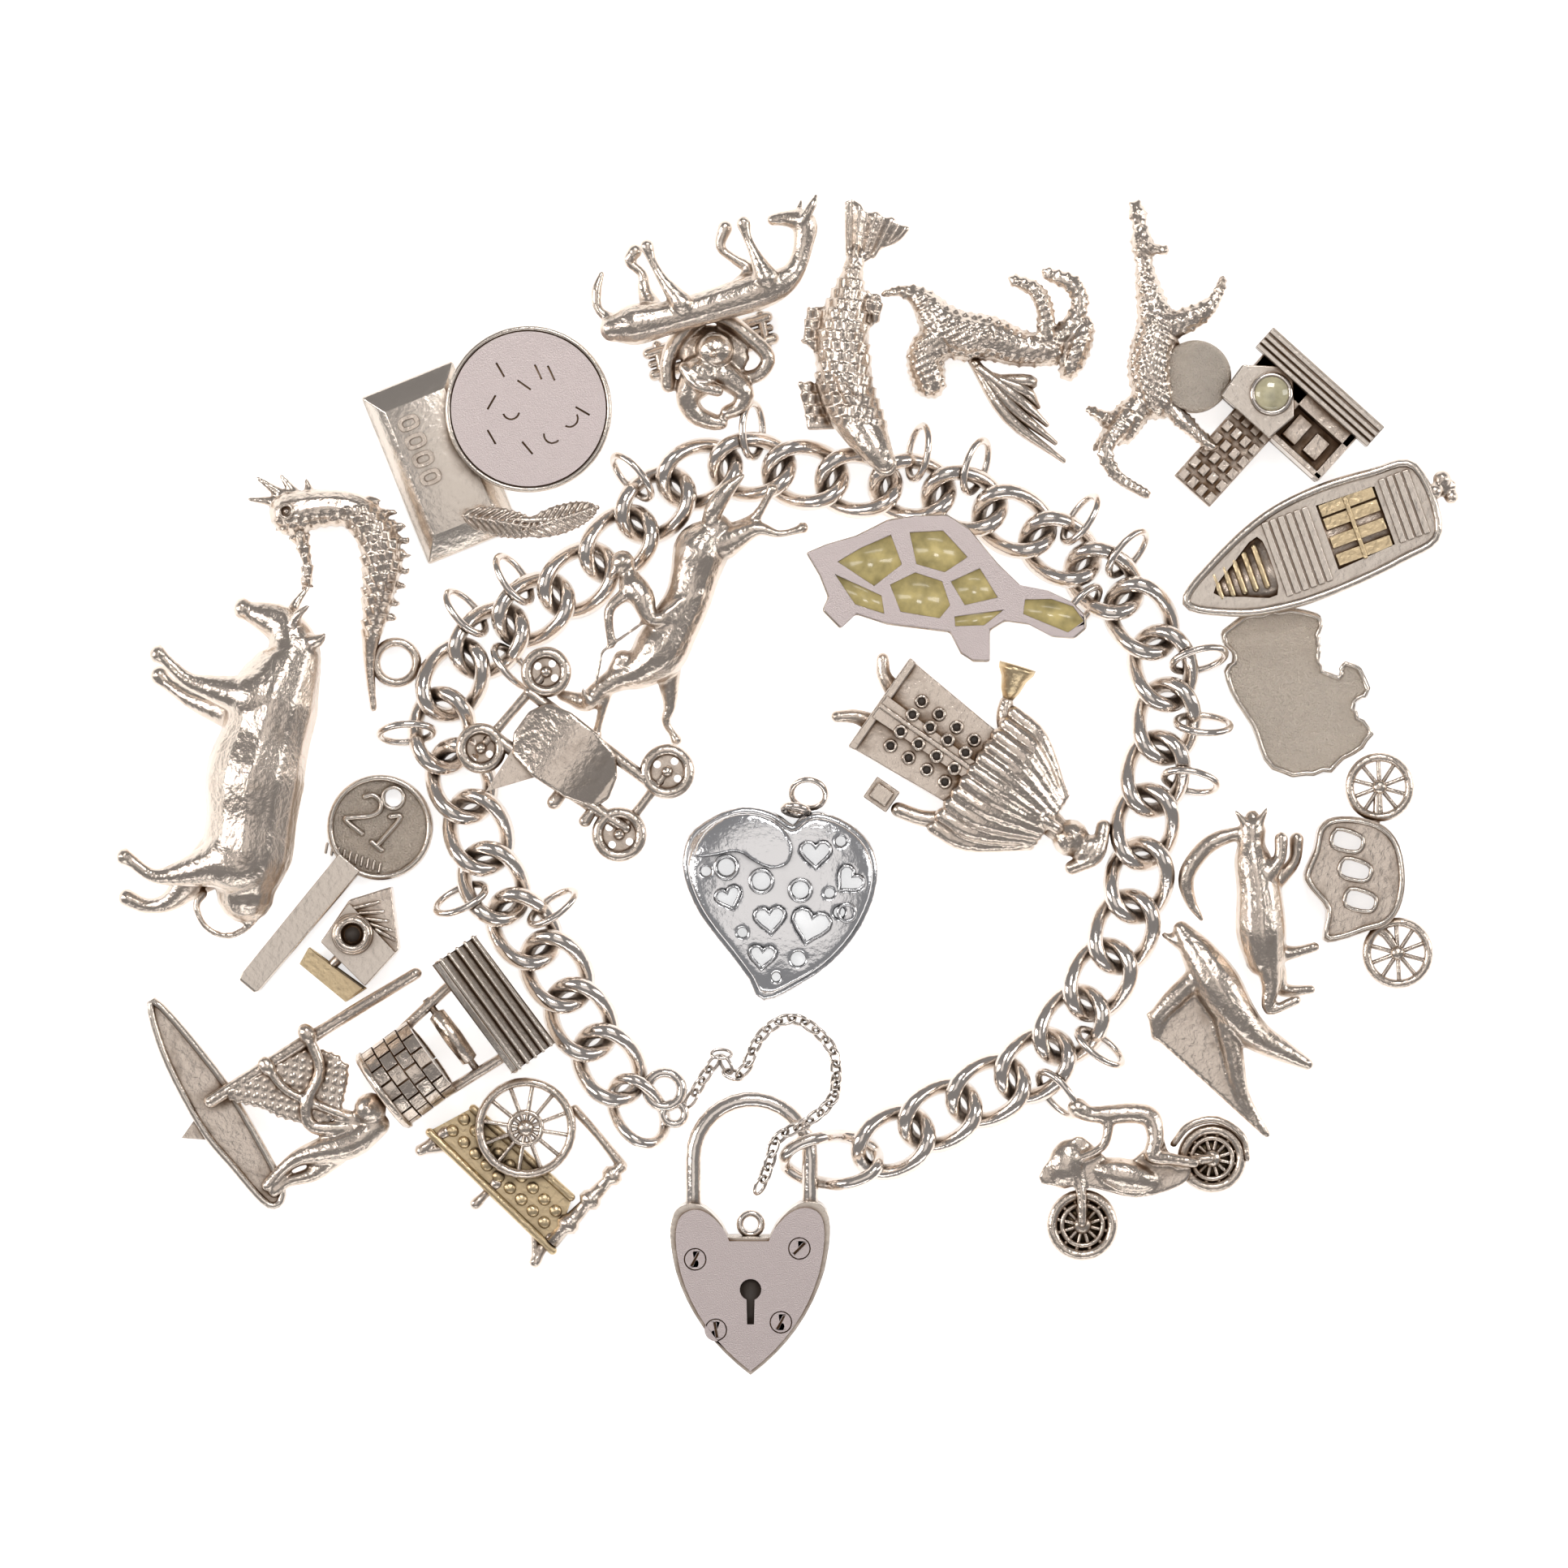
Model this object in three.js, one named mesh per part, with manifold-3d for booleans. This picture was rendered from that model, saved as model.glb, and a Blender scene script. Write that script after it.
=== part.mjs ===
// A silver charm bracelet laid out in a loop: a curb chain, a heart padlock clasp with its safety
// chain, and the charms that hang from jump rings. Millimetres, +Z up, resting on z = 0.
import * as THREE from 'three';
import { mergeVertices } from 'three/addons/utils/BufferGeometryUtils.js';
import Module from 'manifold-3d';

const wasm = await Module();
wasm.setup();

// ---- driving dimensions ----
const GAP = 0.3; // clearance kept between two pieces that touch on the real bracelet
const LINK_HALF_LENGTH = 3.45; // centreline of one curb link, along the chain
const LINK_HALF_WIDTH = 2.55; // centreline of one curb link, across the chain
const LINK_TWIST = 1.05; // how far the wire rises and falls in one link
const LINK_WIRE = 0.75; // wire radius of a link
const LINK_PITCH = 5.05; // distance from one link to the next
const LINK_STEPS = 10; // steps round a link
const LINK_SIDES = 5; // sides of the wire
const GENTLE = 0.01; // steepness of a link's rise and fall: near 0 is a plain wave
const CONTACT_BEAD = 0.5; // radius of the bead that ties two links of one run together
const CHAIN_RUNS = 6; // links are joined in this many runs
const CHAIN_HEIGHT = LINK_TWIST + LINK_WIRE + 0.1; // height of the chain's middle over the table
const RING_WIRE = 0.35; // wire radius of a jump ring
const RING_HALF_HEIGHT = 1.75; // centreline of a jump ring, up and down
const RING_HALF_LENGTH = 2.5; // centreline of a jump ring, away from the chain
const RING_OUTWARD = 0.8; // how far a ring's middle lies outside the wire that it holds
const LOCK_THICKNESS = 4.8;
const LOCK_MIDDLE = LOCK_THICKNESS / 2;
const SHACKLE_WIRE = 0.75;
const SHACKLE_LEFT = -5.2; // x of the hinged leg, from the padlock's middle
const SHACKLE_RIGHT = 5.6; // x of the free leg
const SHACKLE_PIVOT = 6.2; // y of the shackle's hinge pin
const SHACKLE_SPRING = 11.5; // y where the shackle's legs end and its arch begins
const SOCKET_MOUTH = 7.4; // y of the padlock's shoulder where the free leg goes in
const SOCKET_DEPTH = 1.5; // how deep the padlock's socket for the free leg is
const LEG_SHORT = 0.6; // how far the free leg stops short of the socket's floor
const SOCKET_PLAY = 0.4; // room round the free leg in its socket
const HINGE_HOLE = 0.65; // hole radius in the hinged leg's eye
const HINGE_PIN = 0.4; // radius of the padlock's hinge pin
const KEYHOLE_DEPTH = 1.0;
const ARCH_STEPS = 8; // straight steps in the shackle's arch

const FAT_LIMB = 1.3; // a limb with a radius over this gets more sides
const FAT_SIDES = 8;
const THIN_SIDES = 6;

const SILVER = { color: 0xcfc4b6, roughness: 0.32, metalness: 1 };
const WORN_SILVER = { color: 0xbfb3aa, roughness: 0.45, metalness: 1 };
const BRIGHT_SILVER = { color: 0xd8d8dc, roughness: 0.2, metalness: 1 };
const STONE = { color: 0xb8a878, roughness: 0.1, metalness: 0 };

// ---- solids ----
function solidOf(geometry) {
  const bare = geometry.clone();
  bare.deleteAttribute('normal');
  bare.deleteAttribute('uv');
  const merged = mergeVertices(bare, 1e-4);
  return new wasm.Manifold(new wasm.Mesh({
    numProp: 3,
    vertProperties: new Float32Array(merged.attributes.position.array),
    triVerts: new Uint32Array(merged.index.array),
  }));
}

function geometryOf(solid) {
  const mesh = solid.getMesh();
  const geometry = new THREE.BufferGeometry();
  geometry.setAttribute('position', new THREE.BufferAttribute(mesh.vertProperties, 3));
  geometry.setIndex(new THREE.BufferAttribute(mesh.triVerts, 1));
  return geometry;
}

function join(geometries) {
  return geometryOf(geometries.map(solidOf).reduce((sum, solid) => sum.add(solid)));
}

function cut(geometry, tools) {
  return geometryOf(tools.map(solidOf).reduce((left, tool) => left.subtract(tool), solidOf(geometry)));
}

// a closed skin over rings of points; a tube with caps, or a loop joined end to start
function skin(sections, looped) {
  const sides = sections[0].length;
  const steps = sections.length;
  const positions = sections.flat().flatMap((point) => point.toArray());
  const index = [];
  for (let i = 0; i < (looped ? steps : steps - 1); i += 1) {
    const here = i * sides;
    const next = ((i + 1) % steps) * sides;
    for (let k = 0; k < sides; k += 1) {
      const side = (k + 1) % sides;
      index.push(here + k, next + side, next + k, here + k, here + side, next + side);
    }
  }
  if (!looped) {
    const end = (steps - 1) * sides;
    for (let k = 1; k < sides - 1; k += 1) {
      index.push(0, k + 1, k);
      index.push(end, end + k, end + k + 1);
    }
  }
  const geometry = new THREE.BufferGeometry();
  geometry.setAttribute('position', new THREE.Float32BufferAttribute(positions, 3));
  geometry.setIndex(index);
  return geometry;
}

// the ring of points round one place on a wire that runs in the direction along
function section(middle, along, radius, sides) {
  const across = new THREE.Vector3(0, 0, 1).cross(along).normalize();
  const up = along.clone().cross(across);
  return Array.from({ length: sides }, (_, k) => {
    const turn = (2 * Math.PI * (k + 0.5)) / sides;
    const point = middle.clone().addScaledVector(across, radius * Math.cos(turn));
    return point.addScaledVector(up, radius * Math.sin(turn));
  });
}

// a tapered bar bent through a run of points, each given as x, y, z, radius
function bar(points) {
  const places = points.map(([x, y, z]) => new THREE.Vector3(x, y, z));
  const widest = Math.max(...points.map((point) => point[3]));
  const sides = widest > FAT_LIMB ? FAT_SIDES : THIN_SIDES;
  const sections = places.map((place, i) => {
    const before = places[Math.max(i - 1, 0)];
    const after = places[Math.min(i + 1, places.length - 1)];
    return section(place, after.clone().sub(before).normalize(), points[i][3], sides);
  });
  return skin(sections, false);
}

function ball(x, y, z, rx, ry = rx, rz = rx) {
  return new THREE.IcosahedronGeometry(1, 1).scale(rx, ry, rz).translate(x, y, z);
}

function slab(outline, bottom, top) {
  const shape = new THREE.Shape(outline.map(([x, y]) => new THREE.Vector2(x, y)));
  const geometry = new THREE.ExtrudeGeometry(shape, { depth: top - bottom, bevelEnabled: false });
  return geometry.translate(0, 0, bottom);
}

function block(x0, x1, y0, y1, z0, z1) {
  const geometry = new THREE.BoxGeometry(x1 - x0, y1 - y0, z1 - z0);
  return geometry.translate((x0 + x1) / 2, (y0 + y1) / 2, (z0 + z1) / 2);
}

function drum(x, y, bottom, top, radius, sides = 16) {
  const geometry = new THREE.CylinderGeometry(radius, radius, top - bottom, sides);
  return geometry.rotateX(Math.PI / 2).translate(x, y, (bottom + top) / 2);
}

function ring(radius, wire, steps = 12, sides = 5) {
  return new THREE.TorusGeometry(radius, wire, sides, steps);
}

// a wheel lying flat: rim, hub and the web that its spokes fill
function wheel(x, y, z, radius, rim) {
  const profile = [
    [0, -rim * 0.6], [radius - rim * 1.7, -rim * 0.6], [radius - rim * 1.2, -rim], [radius, -rim * 0.5],
    [radius, rim * 0.5], [radius - rim * 1.2, rim], [radius - rim * 1.7, rim * 0.6], [0, rim * 0.6],
  ].map(([across, along]) => new THREE.Vector2(across, along));
  return new THREE.LatheGeometry(profile, 12).rotateX(Math.PI / 2).translate(x, y, z);
}

const bracelet = new THREE.Group();

function add(name, geometry, finish, x = 0, y = 0, turn = 0, z = 0) {
  const mesh = new THREE.Mesh(geometry, new THREE.MeshStandardMaterial(finish));
  mesh.name = name;
  mesh.position.set(x, y, z);
  mesh.rotation.z = THREE.MathUtils.degToRad(turn);
  bracelet.add(mesh);
}

// ---- curb chain ----
// route of the chain's middle, from the clasp ring round to the end loops: x, y
const ROUTE = [
  [9.3, -33.2], [16.0, -29.4], [22.0, -26.4], [26.5, -21.3], [29.5, -16.0], [31.7, -10.8],
  [32.7, -3.2], [33.6, 1.2], [34.8, 7.2], [34.4, 10.4], [32.4, 15.2], [28.8, 18.8], [24.0, 22.2],
  [18.6, 25.2], [12.0, 27.2], [4.8, 28.0], [-1.2, 29.0], [-6.6, 29.4], [-11.2, 27.2], [-14.2, 24.2],
  [-18.6, 19.8], [-23.6, 16.4], [-28.2, 13.2], [-31.2, 10.0], [-32.6, 6.4], [-31.6, 2.6],
  [-29.6, -2.6], [-28.0, -8.6], [-24.8, -13.6], [-21.6, -17.8], [-19.2, -22.6], [-17.0, -26.0],
];

// an oval wire twisted so that it lies flat through its neighbours; steep makes each rise sharper
function twistedOval(
  middle, heading, height, halfLength, halfWidth, twist, wire, steps = LINK_STEPS, steep = GENTLE,
) {
  const points = [];
  for (let i = 0; i < steps; i += 1) {
    const turn = (2 * Math.PI * (i + 0.5)) / steps;
    const rise = Math.tanh(steep * Math.sin(2 * turn)) / Math.tanh(steep);
    const along = halfLength * Math.cos(turn);
    const across = halfWidth * Math.sin(turn);
    points.push(new THREE.Vector3(along, across, -twist * rise));
  }
  const sections = points.map((point, i) => {
    const before = points[(i + steps - 1) % steps];
    const after = points[(i + 1) % steps];
    return section(point, after.clone().sub(before).normalize(), wire, LINK_SIDES);
  });
  const geometry = skin(sections, true);
  return geometry.rotateZ(heading).translate(middle.x, middle.y, height);
}

const route = new THREE.CatmullRomCurve3(ROUTE.map(([x, y]) => new THREE.Vector3(x, y, 0)));
const linkCount = Math.round(route.getLength() / LINK_PITCH) + 1;
const perRun = Math.ceil(linkCount / CHAIN_RUNS);
const linkMiddles = route.getSpacedPoints(linkCount - 1);

function beadBetween(i) {
  const middle = linkMiddles[i].clone().add(linkMiddles[i + 1]).multiplyScalar(0.5);
  const along = linkMiddles[i + 1].clone().sub(linkMiddles[i]);
  const across = new THREE.Vector3(-along.y, along.x, 0).normalize();
  const reach = LINK_HALF_WIDTH * Math.sqrt(1 - (along.length() / 2 / LINK_HALF_LENGTH) ** 2);
  middle.addScaledVector(across, reach);
  return new THREE.OctahedronGeometry(CONTACT_BEAD).translate(middle.x, middle.y, CHAIN_HEIGHT);
}

const headings = [];
for (let run = 0; run < CHAIN_RUNS; run += 1) {
  const pieces = [];
  const last = Math.min((run + 1) * perRun, linkCount) - 1;
  for (let i = run * perRun; i <= last; i += 1) {
    const before = linkMiddles[Math.max(i - 1, 0)];
    const after = linkMiddles[Math.min(i + 1, linkCount - 1)];
    const heading = Math.atan2(after.y - before.y, after.x - before.x);
    headings.push(heading);
    pieces.push(twistedOval(
      linkMiddles[i], heading, CHAIN_HEIGHT, LINK_HALF_LENGTH, LINK_HALF_WIDTH, LINK_TWIST, LINK_WIRE,
    ));
    if (i < last) pieces.push(beadBetween(i));
  }
  add(`chain_run_${run + 1}`, join(pieces), SILVER);
}

// ---- clasp: padlock, its hinged shackle, the oval ring it holds and the safety chain ----
const LOCK = { x: -4.0, y: -46.1 };

function padlockBody() {
  const shape = new THREE.Shape();
  shape.moveTo(0.1, -8.4);
  shape.quadraticCurveTo(5.2, -4.6, 6.9, 1.2);
  shape.quadraticCurveTo(8.1, 6.4, 6.6, 7.3);
  shape.quadraticCurveTo(4.6, 8.4, 2.4, 5.4);
  shape.lineTo(1.9, 4.3);
  shape.lineTo(-2.0, 4.3);
  shape.lineTo(-2.5, 5.4);
  shape.quadraticCurveTo(-4.6, 8.2, -6.4, 7.1);
  shape.quadraticCurveTo(-8.0, 6.2, -6.8, 1.2);
  shape.quadraticCurveTo(-5.2, -4.4, 0.1, -8.4);
  const outline = shape.getPoints(4).slice(0, -1).map(({ x, y }) => [x, y]);
  const low = LOCK_MIDDLE - SHACKLE_WIRE - GAP;
  const high = LOCK_MIDDLE + SHACKLE_WIRE + GAP;
  const slot = block(-9, SHACKLE_LEFT + 1.6, SHACKLE_PIVOT - 1.6, 9, low, high);
  const bore = SHACKLE_WIRE + SOCKET_PLAY;
  const socketFloor = SOCKET_MOUTH - SOCKET_DEPTH - GAP;
  const socket = new THREE.CylinderGeometry(bore, bore, 6, 10);
  socket.translate(SHACKLE_RIGHT, socketFloor + 3, LOCK_MIDDLE);
  const keyFloor = LOCK_THICKNESS - KEYHOLE_DEPTH;
  const keyhole = drum(0.1, -0.5, keyFloor, LOCK_THICKNESS + 1, 1.0, 10);
  const keySlot = block(-0.25, 0.45, -3.8, -0.5, keyFloor, LOCK_THICKNESS + 1);
  const body = cut(slab(outline, 0, LOCK_THICKNESS), [slot, socket, keyhole, keySlot]);
  const pin = drum(SHACKLE_LEFT, SHACKLE_PIVOT, 0.4, LOCK_THICKNESS - 0.4, HINGE_PIN, 8);
  const chainEye = ring(1.0, 0.35).translate(0.1, 5.4, LOCK_MIDDLE);
  return join([body, pin, chainEye]);
}

function shackle() {
  const points = [[SHACKLE_LEFT, SHACKLE_PIVOT + 0.8], [SHACKLE_LEFT, SHACKLE_SPRING]];
  const radius = (SHACKLE_RIGHT - SHACKLE_LEFT) / 2;
  for (let i = 1; i < ARCH_STEPS; i += 1) {
    const turn = Math.PI * (1 - i / ARCH_STEPS);
    const x = SHACKLE_LEFT + radius + radius * Math.cos(turn);
    const y = SHACKLE_SPRING + radius * Math.sin(turn);
    points.push([x, y]);
  }
  const legEnd = SOCKET_MOUTH - SOCKET_DEPTH + LEG_SHORT;
  points.push([SHACKLE_RIGHT, SHACKLE_SPRING], [SHACKLE_RIGHT, legEnd]);
  const wire = bar(points.map(([x, y]) => [x, y, LOCK_MIDDLE, SHACKLE_WIRE]));
  const low = LOCK_MIDDLE - SHACKLE_WIRE;
  const high = LOCK_MIDDLE + SHACKLE_WIRE;
  const eye = drum(SHACKLE_LEFT, SHACKLE_PIVOT, low, high, 1.2, 10);
  const hole = drum(SHACKLE_LEFT, SHACKLE_PIVOT, 0, LOCK_THICKNESS, HINGE_HOLE, 8);
  return cut(join([wire, eye]), [hole]);
}

add('padlock_body', padlockBody(), WORN_SILVER, LOCK.x, LOCK.y);
add('padlock_shackle', shackle(), SILVER, LOCK.x, LOCK.y);
add('clasp_ring', twistedOval({ x: 3.55, y: -34.8 }, 0, 2.4, 4.35, 2.2, 1.75, 0.6, 20, 2.5), SILVER);

const endMiddle = linkMiddles[linkCount - 1].clone().addScaledVector(
  linkMiddles[linkCount - 1].clone().sub(linkMiddles[linkCount - 2]).normalize(), LINK_PITCH,
);
add('end_loops', join([
  twistedOval(endMiddle, headings[linkCount - 1], CHAIN_HEIGHT, 3.3, 2.1, 1.1, 0.55),
  ring(1.6, 0.5).translate(-11.9, -28.3, CHAIN_HEIGHT),
  ring(1.0, 0.4).translate(-11.0, -30.5, CHAIN_HEIGHT),
]), SILVER);

// x, y, z, radius along the safety chain, from the end loops over the shackle to the padlock's ring
const SAFETY_CHAIN = [
  [-9.6, -29.4, 1.2, 0.5], [-7.9, -26.6, 0.8, 0.5], [-6.5, -24.9, 0.8, 0.5], [-6.0, -26.6, 0.8, 0.5],
  [-4.7, -26.7, 0.8, 0.5], [-3.4, -24.0, 0.8, 0.5], [-2.0, -22.4, 0.8, 0.5], [0.0, -21.7, 0.8, 0.5],
  [1.9, -22.6, 0.8, 0.5], [3.6, -24.5, 0.8, 0.5], [4.0, -26.6, 1.6, 0.5], [3.6, -29.0, 4.2, 0.5],
  [1.4, -31.0, 5.2, 0.5], [-1.4, -32.6, 4.8, 0.5], [-2.3, -35.3, 4.4, 0.5], [-3.4, -37.8, 3.8, 0.5],
];
add('safety_chain', bar(SAFETY_CHAIN), SILVER);

// ---- jump rings: each stands on edge round the outer wire of one link ----
// link counted from the clasp ring, side of the chain: 1 is inside the loop and -1 outside
const JUMP_RINGS = [
  [3, -1], [4, -1], [9, -1], [10, -1], [11, -1], [13, 1], [13, -1], [14, -1], [16, -1],
  [17, -1], [20, -1], [22, -1], [25, -1], [26, 1], [26, -1], [28, -1], [31, -1], [32, 1],
];
JUMP_RINGS.forEach(([link, side], i) => {
  const oval = twistedOval({ x: 0, y: 0 }, 0, 0, RING_HALF_LENGTH, RING_HALF_HEIGHT, 0, RING_WIRE);
  oval.rotateX(Math.PI / 2).translate(side * (LINK_HALF_WIDTH + RING_OUTWARD), 0, 0).rotateZ(Math.PI / 2);
  const height = RING_HALF_HEIGHT + RING_WIRE + 0.05;
  const { x, y } = linkMiddles[link];
  add(`jump_ring_${i + 1}`, oval, SILVER, x, y, THREE.MathUtils.radToDeg(headings[link]), height);
});

// ---- charms: each is built round its own middle, lying flat, then set down in its place ----
// In the tables of bars each point is x, y, z, radius.

function bull() {
  const body = bar([
    [-14.2, -4.0, 4.4, 0.9], [-13.8, -1.0, 4.6, 1.9], [-11.6, 1.4, 4.8, 2.6], [-7.0, 0.4, 4.9, 4.3],
    [0.8, 0.0, 5.1, 4.9], [8.0, 0.2, 4.9, 4.3], [11.6, 0.6, 4.8, 2.9],
  ]);
  const legs = [
    [[-4.8, -3.2, 3.4, 1.6], [-5.3, -7.9, 2.4, 1.0], [-6.5, -11.3, 1.6, 0.8]],
    [[-6.4, -3.4, 6.6, 1.4], [-6.9, -8.2, 6.6, 0.9], [-8.6, -11.3, 6.4, 0.7]],
    [[8.7, -3.0, 3.6, 2.2], [13.5, -6.6, 2.6, 1.1], [14.4, -8.9, 2.0, 0.8], [13.9, -11.2, 1.8, 0.7]],
    [[9.4, -3.4, 6.6, 1.6], [11.6, -8.4, 6.6, 0.8], [10.2, -11.2, 6.4, 0.7]],
  ];
  const horns = [
    [[-12.8, 0.0, 4.0, 0.7], [-17.4, 1.6, 3.0, 0.4]],
    [[-12.6, 0.2, 5.4, 0.7], [-15.6, 2.2, 7.2, 0.4]],
  ];
  const tail = [
    [10.8, 0.8, 5.0, 0.6], [15.2, -0.2, 5.4, 0.4], [15.2, -2.6, 5.6, 0.4], [13.4, -3.9, 5.4, 0.4],
  ];
  return join([body, ...[...legs, ...horns, tail].map(bar)]);
}

function seahorse() {
  const body = bar([
    [-5.0, -4.2, 2.4, 2.3], [-5.0, -1.0, 2.2, 1.9], [-4.0, 1.8, 2.2, 1.8], [-1.6, 3.0, 2.2, 1.9],
    [1.6, 2.8, 2.1, 1.8], [5.4, 1.6, 1.9, 1.3], [8.6, 0.6, 1.6, 0.7], [11.4, 0.2, 1.4, 0.5],
    [14.2, 0.0, 1.2, 0.4],
  ]);
  const snout = bar([[-3.6, -4.0, 2.4, 1.0], [-0.6, -3.8, 2.4, 0.6], [1.4, -4.2, 2.4, 0.5]]);
  const crown = [
    [[-6.4, -5.0, 2.4, 0.6], [-7.0, -7.7, 2.4, 0.3]],
    [[-6.6, -4.6, 2.4, 0.6], [-8.8, -6.6, 2.4, 0.3]],
  ];
  const curl = ring(1.8, 0.5).translate(10.2, 2.6, 1.2);
  return join([body, snout, ...crown.map(bar), curl]);
}

function ingot() {
  const foot = [[-4.6, -8.4], [4.6, -8.4], [4.6, 8.4], [-4.6, 8.4]];
  const top = [[-3.2, -6.6], [3.2, -6.6], [3.2, 6.6], [-3.2, 6.6]];
  return join([slab(foot, 0, 1.2), slab(top, 1.2, 2.2)]);
}

function disc() {
  return drum(0, 0, 0, 1.3, 7.7, 32);
}

function leaves() {
  const leaf = [[-3.6, 0], [-1.8, 1.2], [0.6, 1.3], [3.6, 0], [0.6, -1.3], [-1.8, -1.2]];
  const left = slab(leaf, 0.4, 1.3);
  const right = slab(leaf, 0.4, 1.3).rotateZ(0.5).translate(5.2, 1.2, 0);
  const stalk = bar([[-1.6, 0.2, 0.8, 0.45], [6.2, 1.6, 0.8, 0.45]]);
  return join([left, right, stalk]);
}

function horseAndJockey() {
  const body = bar([
    [7.4, 0.0, 3.6, 1.7], [5.4, 0.4, 3.2, 2.5], [0.6, -0.8, 3.1, 2.3], [-4.9, -0.9, 3.1, 2.7],
    [-7.1, -0.2, 3.1, 1.9], [-8.8, 1.1, 3.1, 1.3], [-12.2, 2.7, 3.1, 0.9], [-12.9, 4.8, 3.1, 0.6],
  ]);
  const limbs = [
    [[6.6, -0.7, 2.4, 1.3], [9.0, -1.9, 3.4, 0.8], [10.6, -2.5, 4.6, 0.6], [13.3, -2.5, 4.8, 0.5]],
    [[6.8, -1.6, 3.8, 1.3], [9.4, -3.2, 4.6, 0.7], [10.0, -5.3, 4.8, 0.5], [11.5, -6.7, 4.8, 0.5]],
    [[-5.7, -2.5, 2.0, 1.2], [-8.6, -4.4, 1.8, 0.7], [-10.1, -4.6, 1.6, 0.6], [-11.1, -6.2, 1.4, 0.5]],
    [[-7.2, 2.0, 3.4, 0.9], [-11.7, 1.1, 2.8, 0.7], [-14.4, 0.3, 2.3, 0.5]],
    [[7.0, 0.9, 4.0, 0.8], [10.0, 1.2, 5.0, 0.9], [13.0, 0.6, 5.2, 0.5]],
  ];
  const rider = [
    [[-1.6, 0.2, 5.2, 0.8], [-2.2, 2.8, 5.0, 1.3], [-0.8, 4.2, 4.6, 1.4], [0.6, 5.9, 4.6, 1.1]],
    [[-1.8, 4.4, 5.0, 0.7], [-3.6, 4.8, 5.0, 0.6], [-6.5, 3.2, 4.6, 0.5]],
  ];
  return join([body, ...[...limbs, ...rider].map(bar)]);
}

function foal() {
  const body = bar([
    [-8.2, -1.6, 3.4, 1.4], [-6.4, -1.7, 3.3, 2.0], [-1.2, -1.9, 3.3, 1.7], [6.0, -1.6, 3.3, 1.8],
    [9.2, -0.7, 3.3, 1.1], [10.8, 1.3, 3.3, 1.0], [11.4, 3.7, 3.3, 1.3], [8.8, 4.4, 3.3, 0.6],
  ]);
  const legs = [
    [[-4.2, -0.9, 2.4, 1.0], [-4.6, 2.3, 2.2, 0.7], [-5.5, 4.3, 2.2, 0.6]],
    [[-1.5, -1.0, 4.4, 0.9], [-2.9, 3.1, 4.4, 0.6], [-3.2, 5.0, 4.4, 0.6]],
    [[3.6, -1.2, 2.4, 1.0], [5.2, 0.6, 2.2, 0.8], [3.3, 3.3, 2.2, 0.7], [4.0, 5.0, 2.2, 0.6]],
    [[6.6, -0.6, 4.4, 1.0], [5.9, 3.1, 4.4, 0.6], [5.9, 4.8, 4.4, 0.6]],
    [[-7.6, -1.2, 3.4, 0.8], [-9.0, 1.2, 3.2, 0.5], [-8.0, 3.6, 3.2, 0.4]],
    [[11.2, 3.2, 3.3, 0.7], [12.8, 5.4, 3.3, 0.5]],
  ];
  return join([body, ...legs.map(bar)]);
}

function pixie() {
  const hood = slab([
    [-4.4, -2.2], [-4.3, 1.7], [-2.1, 4.9], [1.5, 3.9], [4.6, 1.8], [3.4, -1.4], [-1.0, -3.2],
  ], 1.4, 3.2);
  const face = ball(-0.3, 1.6, 3.2, 2.2, 2.2, 1.4);
  const limbs = [
    [[-1.4, -1.0, 3.0, 2.0], [-2.2, -3.6, 2.4, 1.2], [-0.9, -4.8, 2.0, 1.1], [0.6, -5.0, 1.8, 0.9]],
    [[0.6, -0.6, 2.8, 1.3], [2.8, -2.2, 2.4, 1.1], [2.2, -3.6, 2.2, 0.9]],
  ];
  return join([hood, face, ...limbs.map(bar)]);
}

function gate() {
  const rails = [
    [[-5.4, 1.2, 0.8, 0.6], [5.6, 4.6, 0.8, 0.6]],
    [[-4.8, -0.8, 0.8, 0.6], [6.2, 2.6, 0.8, 0.6]],
  ];
  const posts = [
    [[-4.6, 2.0, 0.8, 0.5], [-4.0, -1.2, 0.8, 0.5]],
    [[5.0, 4.8, 0.8, 0.5], [5.6, 1.8, 0.8, 0.5]],
  ];
  return join([...rails, ...posts].map(bar));
}

function fish() {
  const body = bar([
    [-7.0, 0.2, 2.4, 0.9], [-3.8, -0.1, 2.4, 1.5], [-0.7, -0.3, 2.6, 2.2], [2.7, -0.1, 2.6, 2.5],
    [6.1, 0.7, 3.0, 2.5], [8.8, 2.3, 4.4, 2.2], [11.0, 3.8, 5.7, 1.7], [12.2, 4.6, 6.0, 1.1],
  ]);
  const tail = slab([[-6.8, -0.6], [-12.6, -1.0], [-11.2, 1.8], [-9.8, 4.8], [-6.8, 1.0]], 1.8, 3.0);
  const fins = [
    slab([[-2.6, -1.0], [-2.0, -3.6], [1.2, -3.8], [3.0, -1.4]], 2.0, 3.0),
    slab([[-4.2, 0.8], [-3.6, 3.0], [-1.2, 3.0], [-0.4, 1.0]], 2.0, 3.0),
    slab([[5.0, -1.4], [5.0, -4.0], [9.4, -2.8], [9.0, 0.6]], 1.6, 3.0),
  ];
  return join([body, tail, ...fins]);
}

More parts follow.
